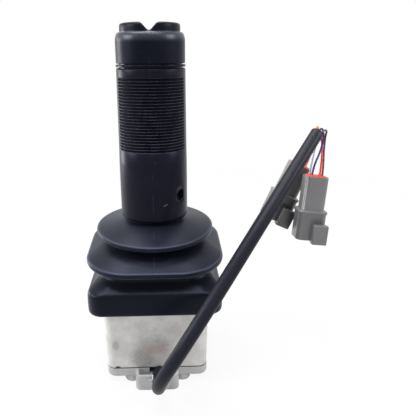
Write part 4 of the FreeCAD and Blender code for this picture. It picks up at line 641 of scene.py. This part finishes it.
# The boot is moulded in one piece of soft black rubber with a blue cast and a dull sheen.
# Its square skirt wraps the flange, and two thin folds, a square rim and a round collar, lead up to the neck.
def soft_black(name, shade, light, roughness, level, sheen):
    """Matt rubber or plastic off the mould: faint bloom, dust, fine grain and a parting line in front."""
    finish = Finish(
        name, roughness, Specular_IOR_Level=level, Specular_Tint=(0.66, 0.72, 1.0, 1),
        Sheen_Weight=sheen, Sheen_Roughness=0.4, Sheen_Tint=(0.66, 0.74, 1.0, 1),
    )
    bloom = finish.noise(55, 4, 0.6)
    grain = finish.noise(1500, 3, 0.6)
    dust = finish.noise(640, 2).ramp(0.745, 0.775)
    seam = abs(finish.axis("X")).ramp(0.34 * MM, 0.12 * MM) * finish.axis("Y").ramp(2 * MM, -2 * MM)
    seam = seam * finish.noise(120, 3).ramp(0.44, 0.6)
    tone = finish.mix(bloom.ramp(0.3, 0.7), shade, light)
    tone = finish.mix(seam * 0.8, tone, [part * 4 for part in light])
    finish.tone = finish.mix(dust * 0.5, tone, (0.085, 0.09, 0.11))
    finish.colour(finish.tone)
    finish.matt = roughness - 0.06 + 0.12 * bloom
    finish.gloss(finish.matt)
    finish.relief(grain * 0.5 + seam, 0.06, 0.4)
    return finish


def settled(piece):
    """Applies the piece's modifiers to its mesh."""
    graph = bpy.context.evaluated_depsgraph_get()
    done = bpy.data.meshes.new_from_object(piece.evaluated_get(graph))
    piece.modifiers.clear()
    piece.data = done
    return piece


FOLD_LEAN = 0.062
FOLD_FRONT = 43 * MM
FOLDS_FROM, FOLDS_TO, FOLDS_FADE = 76, 111, 8
BOOT_WALL = 1.5


def boot_skin(name, rings):
    """A sheet through rounded squares, smoothed and thickened inwards, whose folds lean back a little."""
    mesh = bmesh.new()
    lofted(mesh, [(half, half, corner, z) for half, corner, z in rings], 23, closed=False)
    for spot in mesh.verts:
        z = spot.co.z / MM
        above = min(1.0, max(0.0, (z - FOLDS_FROM) / FOLDS_FADE))
        below = min(1.0, max(0.0, (FOLDS_TO - z) / FOLDS_FADE))
        spot.co.z += FOLD_LEAN * (above * below) * (spot.co.y + FOLD_FRONT)
    piece = finished(name, mesh, 180)
    smoothing = piece.modifiers.new("smoothing", "SUBSURF")
    smoothing.levels = smoothing.render_levels = 1
    wall = piece.modifiers.new("wall", "SOLIDIFY")
    wall.thickness = BOOT_WALL * MM
    wall.offset = -1
    wall.use_rim = True
    return settled(piece)


boot_rubber = soft_black(
    "boot_rubber", (0.0034, 0.0038, 0.0080), (0.0056, 0.0058, 0.0116), 0.36, 0.17, 0.13,
)
# Thin lighter lines along the edges of the rim and the collar, at these heights, are painted highlights.
RIM_EDGES = ((88.4, 0.55), (85.2, 0.3))
COLLAR_EDGES = ((103.1, 0.55), (100.4, 0.3))
fold_z = boot_rubber.axis("Z") - FOLD_LEAN * (boot_rubber.axis("Y") + FOLD_FRONT)
edge_highlight = 0
for edge_z, strength in RIM_EDGES + COLLAR_EDGES:
    edge_highlight = edge_highlight + strength * abs(fold_z - edge_z * MM).ramp(0.55 * MM, 0.12 * MM)
edge_highlight = edge_highlight * (0.35 + 0.65 * boot_rubber.noise(90, 3))
# Below the rim the skirt's colour is darkened much further, as painted shade under the rim.
above_skirt_shade = boot_rubber.axis("Z").ramp(74 * MM, 84 * MM)
tone_with_skirt_shade = boot_rubber.mix(above_skirt_shade, (0.0007, 0.0008, 0.0022), boot_rubber.tone)
boot_rubber.colour(boot_rubber.mix(edge_highlight, tone_with_skirt_shade, (0.075, 0.082, 0.125)))
boot_lower = boot_skin("boot_lower", [
    (41.9, 8.3, 57.1), (42.6, 8.7, 57.0), (43.4, 9.2, 57.15), (44.1, 9.8, 57.9), (44.4, 10.0, 59.2),
    (44.5, 10.1, 62.0), (44.5, 10.1, 67.5), (44.4, 10.1, 70.6), (44.0, 10.3, 72.2), (43.0, 11.0, 73.3),
    (41.6, 12.2, 74.3), (39.8, 13.9, 76.0), (37.8, 15.6, 78.2), (36.9, 17.0, 79.6), (36.9, 18.0, 80.8),
    (38.0, 19.6, 81.8), (41.4, 24.4, 83.3), (44.4, 28.4, 84.4), (45.6, 29.9, 84.8), (46.1, 30.4, 85.3),
    (46.35, 30.7, 86.2), (46.4, 30.8, 87.3), (46.2, 30.7, 88.0), (45.6, 30.4, 88.5), (44.4, 29.8, 89.1),
    (40.0, 29.0, 91.4), (36.0, 29.4, 93.6), (33.2, 30.4, 95.2), (31.9, 31.4, 96.1), (31.6, 31.6, 96.7),
])
dress(boot_lower, boot_rubber, None, "boot")
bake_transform(boot_lower)
boot_upper = boot_skin("boot_upper", [(r, r, z) for r, z in (
    (31.6, 96.7), (31.6, 97.3), (33.2, 98.1), (36.6, 99.1), (39.0, 99.8), (39.8, 100.1), (40.1, 100.6),
    (40.4, 101.5), (40.4, 102.4), (40.2, 102.9), (39.7, 103.3), (38.6, 103.8), (36.8, 104.6), (33.4, 106.0),
    (29.0, 107.8), (25.0, 109.4), (22.4, 110.5), (20.6, 111.3), (19.6, 112.0), (19.2, 113.2), (19.2, 121.5),
)])
dress(boot_upper, boot_rubber, None, "boot")
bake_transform(boot_upper)


# The grip's sleeve is thick rubber over a hard core, with a smooth foot and ribs for the fingers.
# Its ribs run round the front and back and fade out at the sides, and a hole leads to the set screw.
GRIP_FOOT = 112.2
GRIP_HEAD = 211.2
GRIP_BORE_R = 19.35
RIBS = 24
RIB_PITCH = 1.90
RIB_TOP = 205.6
RIB_LOW = RIB_TOP - RIBS * RIB_PITCH
RIB_DEPTH = 1.15
STEPS_PER_RIB = 10
SIDE_STRIP_DEG = 22.5
STRIP_FADE_DEG = 2.6


def rib_dip(z):
    """How deep the grip's outline lies below its crests at a height, in millimetres."""
    if not RIB_LOW < z < RIB_TOP:
        return 0.0
    wave = 0.5 - 0.5 * math.cos(math.tau * (RIB_TOP - z) / RIB_PITCH)
    return RIB_DEPTH * wave


def cut_with(piece, cutter):
    """Takes one closed mesh away from another."""
    hole = piece.modifiers.new("hole", "BOOLEAN")
    hole.operation = "DIFFERENCE"
    hole.solver = "EXACT"
    hole.object = cutter
    settled(piece)
    bpy.data.objects.remove(cutter)


def ribbed_sleeve():
    """Turned tube whose fine rows are pushed in between the ribs, except along the two side strips."""
    rows = [(22.72, 119.0), (22.76, 125.0), (22.76, 138.0), (22.7, 150.0), (22.5, RIB_LOW)]
    steps = STEPS_PER_RIB * RIBS
    for step in range(1, steps + 1):
        rows.append((22.5 - 0.35 * step / steps, RIB_LOW + step * RIB_PITCH / STEPS_PER_RIB))
    rows += [(22.12, 207.5), (22.1, GRIP_HEAD)]
    foot = [(GRIP_BORE_R, GRIP_FOOT), (22.7, GRIP_FOOT)]
    outline = foot + rows + [(GRIP_BORE_R, GRIP_HEAD), (GRIP_BORE_R, GRIP_FOOT)]
    foot_corner = 1
    head_corner = len(outline) - 3
    rounding = (((foot_corner,), 3.2, 6), ((head_corner,), 0.9, 4))
    tube = turned("grip_sleeve_rubber", outline, 160, rounding)
    for spot in tube.data.vertices:
        x, y, z = spot.co / MM
        radius = math.hypot(x, y)
        if radius < GRIP_BORE_R + RIB_DEPTH + 0.5:
            continue
        from_side = math.degrees(math.asin(min(1.0, abs(y) / radius)))
        panel = min(1.0, max(0.0, (from_side - SIDE_STRIP_DEG) / STRIP_FADE_DEG))
        dip = rib_dip(z) * panel * panel * (3 - 2 * panel)
        spot.co.x *= (radius - dip) / radius
        spot.co.y *= (radius - dip) / radius
    return tube


grip_sleeve = ribbed_sleeve()
SCREW_TURN = math.radians(-38)
SCREW_LEVEL = 130.5
screw_way = Vector((math.cos(SCREW_TURN), math.sin(SCREW_TURN), 0))
drill = turned("drill", [(0, -6.0), (3.7, -6.0), (3.7, 3.0), (3.85, 3.55), (4.4, 4.2), (0, 4.2)], 48)
set_at(drill, screw_way * 18.9 * MM + Vector((0, 0, SCREW_LEVEL * MM)), screw_way)
cut_with(grip_sleeve, drill)
grip_rubber = soft_black(
    "grip_rubber", (0.0026, 0.0026, 0.0058), (0.0044, 0.0043, 0.0090), 0.31, 0.14, 0.03,
)
grip_x = grip_rubber.axis("X")
grip_y = grip_rubber.axis("Y")
grip_z = grip_rubber.axis("Z")
radius = (grip_x * grip_x + grip_y * grip_y) ** 0.5
ribbed = grip_z.ramp((RIB_LOW - 0.5) * MM, RIB_LOW * MM) * grip_z.ramp((RIB_TOP + 0.6) * MM, RIB_TOP * MM)
# The grooves between the ribs are darkened as painted shade, and the crests are lightened in patches as
# painted highlights.
shaded_grooves = radius.ramp(21.9 * MM, 21.4 * MM) * ribbed
highlighted_crests = radius.ramp(22.0 * MM, 22.25 * MM) * ribbed * grip_rubber.noise(140, 3).ramp(0.35, 0.6)
grip_tone_with_painted_light = grip_rubber.mix(shaded_grooves, grip_rubber.tone, (0.0012, 0.0012, 0.0024))
grip_tone_with_painted_light = grip_rubber.mix(highlighted_crests * 0.5, grip_tone_with_painted_light, (0.036, 0.036, 0.055))
along = grip_x - 8.0 * MM
across = grip_z - 125.6 * MM - 0.45 * along
scratch = abs(across).ramp(0.32 * MM, 0.08 * MM) * abs(along).ramp(1.7 * MM, 1.1 * MM)
scratch = scratch * grip_y.ramp(-4 * MM, -8 * MM)
grip_rubber.colour(grip_rubber.mix(scratch * 0.8, grip_tone_with_painted_light, (0.16, 0.16, 0.19)))
grip_rubber.gloss(grip_rubber.matt + 0.35 * shaded_grooves)
dress(grip_sleeve, grip_rubber, "lever", "grip_sleeve")


# A thin lip stands in the groove between the grip and the cap, and shows as a fine line.
# It is the edge of a hard black spacer ring, which the cap's two screws clamp on the grip's core.
ring_black = Finish("ring_black", 0.2, Specular_IOR_Level=0.12, Specular_Tint=(0.66, 0.72, 1.0, 1))
ring_tone = ring_black.noise(800, 3)
ring_black.colour(ring_black.mix(ring_tone, (0.0010, 0.0011, 0.0024), (0.0024, 0.0025, 0.0052)))
ring_black.gloss(0.16 + 0.1 * ring_tone)
lip_ring = turned("lip_ring_moulding", [
    (8.0, 211.25), (20.3, 211.25), (20.3, 211.85), (22.3, 211.85), (22.3, 213.35),
    (20.3, 213.35), (20.3, 213.95), (8.0, 213.95), (8.0, 211.25),
], 128, (((3, 4), 0.35, 3),))
dress(lip_ring, ring_black, "lever", "lip_ring")


# The cap is a thick moulded shell with a tall round shoulder and a round pocket for the rocker.
# Two screws at the bottom of the pocket hold it to the grip's core, and hands have polished its shoulder to a
# gloss, where a lighter band is a painted highlight.
POCKET_R = 19.75
SHOULDER_WIDTH = 2.15
SHOULDER_HEIGHT = 5.2
SHOULDER_FOOT = 227.2
SHOULDER_STEPS = 15
shoulder = []
for step in range(SHOULDER_STEPS + 1):
    turn = math.radians(90 / SHOULDER_STEPS * step)
    shoulder.append((
        19.85 + SHOULDER_WIDTH * math.sin(turn),
        SHOULDER_FOOT + SHOULDER_HEIGHT * math.cos(turn),
    ))
pocket = [(0, 225.9), (POCKET_R, 225.9), (POCKET_R, 232.0)]
skirt = [(22.0, 214.3), (21.7, 214.0), (19.4, 214.0), (19.4, 224.0), (0, 224.0)]
cap = turned("cap_shell", pocket + shoulder + skirt, 160)
cap_plastic = soft_black(
    "cap_plastic", (0.0020, 0.0022, 0.0052), (0.0038, 0.0040, 0.0082), 0.33, 0.10, 0.05,
)
cap_z = cap_plastic.axis("Z")
# On the shoulder a clear coat adds gloss, and a lighter colour there is a painted highlight.
polish_and_highlight = cap_z.ramp(226.2 * MM, 230.5 * MM) * cap_z.ramp(233.2 * MM, 232.6 * MM)
cap_plastic.surface.inputs["Coat Roughness"].default_value = 0.34
cap_plastic.feed(cap_plastic.surface.inputs["Coat Weight"], 0.6 * polish_and_highlight)
cap_plastic.colour(cap_plastic.mix(polish_and_highlight * 0.6, cap_plastic.tone, (0.018, 0.020, 0.038)))
dress(cap, cap_plastic, "lever", "cap")


# The thumb rocker is a crowned round button that tips left and right, with a V notch front to back.
# Its edges are rounded, it is hollow underneath, and a hub across its middle turns on the pin.
AXLE_PLACE = Vector((0, 0, 230.2)) * MM
NOTCH_REACH = 30 * MM
rocker = turned("rocker_button", [
    (0, 238.7), (9.0, 238.5), (16.5, 238.0), (19.15, 237.7), (19.15, 229.0), (0, 229.0),
], 48)
notch = bmesh.new()
corners = ((-7.4, 240.7), (0, 232.4), (7.4, 240.7))
spots = [notch.verts.new((x * MM, -NOTCH_REACH, z * MM)) for x, z in corners]
for pair in zip(spots, spots[1:] + spots[:1]):
    notch.edges.new(pair)
bmesh.ops.bevel(
    notch, geom=[spots[1]], offset=1.5 * MM, offset_type="OFFSET", affect="VERTICES",
    segments=6, profile=0.5, material=-1,
)
bmesh.ops.contextual_create(notch, geom=notch.edges[:])
drawn = bmesh.ops.extrude_face_region(notch, geom=notch.faces[:])["geom"]
far_end = [spot for spot in drawn if isinstance(spot, bmesh.types.BMVert)]
bmesh.ops.translate(notch, verts=far_end, vec=(0, 2 * NOTCH_REACH, 0))
cut_with(rocker, finished("notch_wedge", notch))
even_skin = rocker.modifiers.new("even skin", "REMESH")
even_skin.mode = "VOXEL"
even_skin.voxel_size = 0.36 * MM
even_skin.use_smooth_shade = True
soft_edges = rocker.modifiers.new("soft edges", "SMOOTH")
soft_edges.factor = 0.5
soft_edges.iterations = 110
settled(rocker)
hollow = turned("rocker_hollow", [
    (0, 226.0), (17.3, 226.0), (17.3, 231.5), (16.9, 231.9), (0, 231.9),
], 64)
cut_with(rocker, hollow)
hub = turned("rocker_hub", [(0, -8.0), (3.4, -8.0), (3.4, 8.0), (0, 8.0)], 32)
set_at(hub, AXLE_PLACE, (0, 1, 0))
whole = bmesh.new()
whole.from_mesh(rocker.data)
whole.from_mesh(hub.data)
whole.to_mesh(rocker.data)
whole.free()
bpy.data.objects.remove(hub)
dress(rocker, cap_plastic, "rocker", "rocker")


# The rocker turns on a steel pin that runs front to back, with its ends hidden in the cap's wall.
# Its ends are chamfered, so that it can be pushed in.
rocker_dowel = turned("rocker_dowel", [
    (0, -20.4), (1.0, -20.4), (1.2, -20.2), (1.2, 20.2), (1.0, 20.4), (0, 20.4),
], 24)
set_at(rocker_dowel, AXLE_PLACE, (0, 1, 0))
dress(rocker_dowel, plated_steel, "lever", "rocker_pin")


# The studio is a plain white floor under a white surround, with soft lamps on both sides, behind and above.
# The floor is nearly all its own white, wholly so far from the object, so the shadow on it stays faint.
white_floor = Finish("white_floor", 0.9)
white_floor.colour((0.55, 0.55, 0.55))
floor_x = white_floor.axis("X")
floor_y = white_floor.axis("Y")
own_white = 0.9 + 0.1 * ((floor_x * floor_x + floor_y * floor_y) ** 0.5).ramp(0.3, 0.8)
glow = white_floor.node("ShaderNodeEmission", {}, {"Color": (1, 1, 1), "Strength": 1.0}, "Emission")
floor_mix = white_floor.tree.nodes.new("ShaderNodeMixShader")
white_floor.tree.links.new(white_floor.surface.outputs["BSDF"], floor_mix.inputs[1])
white_floor.tree.links.new(glow.socket, floor_mix.inputs[2])
rays = white_floor.tree.nodes.new("ShaderNodeLightPath")
seen = 0
for kind in ("Is Camera Ray", "Is Glossy Ray", "Is Transmission Ray"):
    seen = seen + Signal(white_floor, rays.outputs[kind])
white_floor.feed(floor_mix.inputs[0], seen * own_white)
surface_out = white_floor.tree.nodes["Material Output"].inputs["Surface"]
white_floor.tree.links.new(floor_mix.outputs[0], surface_out)
ground = bmesh.new()
bmesh.ops.create_grid(ground, x_segments=1, y_segments=1, size=3.0)
floor = finished("floor", ground)
floor.data.materials.append(white_floor.material)

world = bpy.data.worlds.new("studio")
scene.world = world
world.use_nodes = True
sky = world.node_tree
ambient = sky.nodes["Background"]
ambient.inputs["Color"].default_value = (0.96, 0.98, 1.0, 1)
ambient.inputs["Strength"].default_value = 0.40
backdrop = sky.nodes.new("ShaderNodeBackground")
backdrop.inputs["Color"].default_value = (1, 1, 1, 1)
choice = sky.nodes.new("ShaderNodeMixShader")
ray_kinds = sky.nodes.new("ShaderNodeLightPath")
shown_white = ray_kinds.outputs["Is Camera Ray"]
for kind in ("Is Glossy Ray", "Is Transmission Ray"):
    either = sky.nodes.new("ShaderNodeMath")
    either.operation = "ADD"
    either.use_clamp = True
    sky.links.new(shown_white, either.inputs[0])
    sky.links.new(ray_kinds.outputs[kind], either.inputs[1])
    shown_white = either.outputs[0]
sky.links.new(shown_white, choice.inputs[0])
sky.links.new(ambient.outputs[0], choice.inputs[1])
sky.links.new(backdrop.outputs[0], choice.inputs[2])
sky.links.new(choice.outputs[0], sky.nodes["World Output"].inputs["Surface"])

LAMP_AIM = Vector((0, 0, 0.12))


def soft_lamp(name, place, width, height, watts):
    """A rectangular lamp, in metres, turned to the middle of the joystick."""
    lamp = bpy.data.lights.new(name, "AREA")
    lamp.shape = "RECTANGLE"
    lamp.size = width
    lamp.size_y = height
    lamp.energy = watts
    holder = bpy.data.objects.new(name, lamp)
    turn = (LAMP_AIM - Vector(place)).normalized().to_track_quat("-Z", "Y").to_matrix().to_4x4()
    holder.matrix_world = Matrix.Translation(place) @ turn
    scene.collection.objects.link(holder)


soft_lamp("left_lamp", (-0.88, -0.20, 0.50), 0.5, 0.36, 6.0)
soft_lamp("right_lamp", (0.88, -0.24, 0.55), 0.4, 0.34, 4.5)
soft_lamp("top_lamp", (-0.08, 0.24, 1.0), 0.7, 0.5, 8.0)
soft_lamp("back_lamp", (-0.72, 0.40, 0.12), 0.3, 0.4, 3.0)
soft_lamp("front_lamp", (-0.10, -0.28, 1.05), 1.1, 0.25, 10.0)
scene.view_settings.view_transform = "Standard"
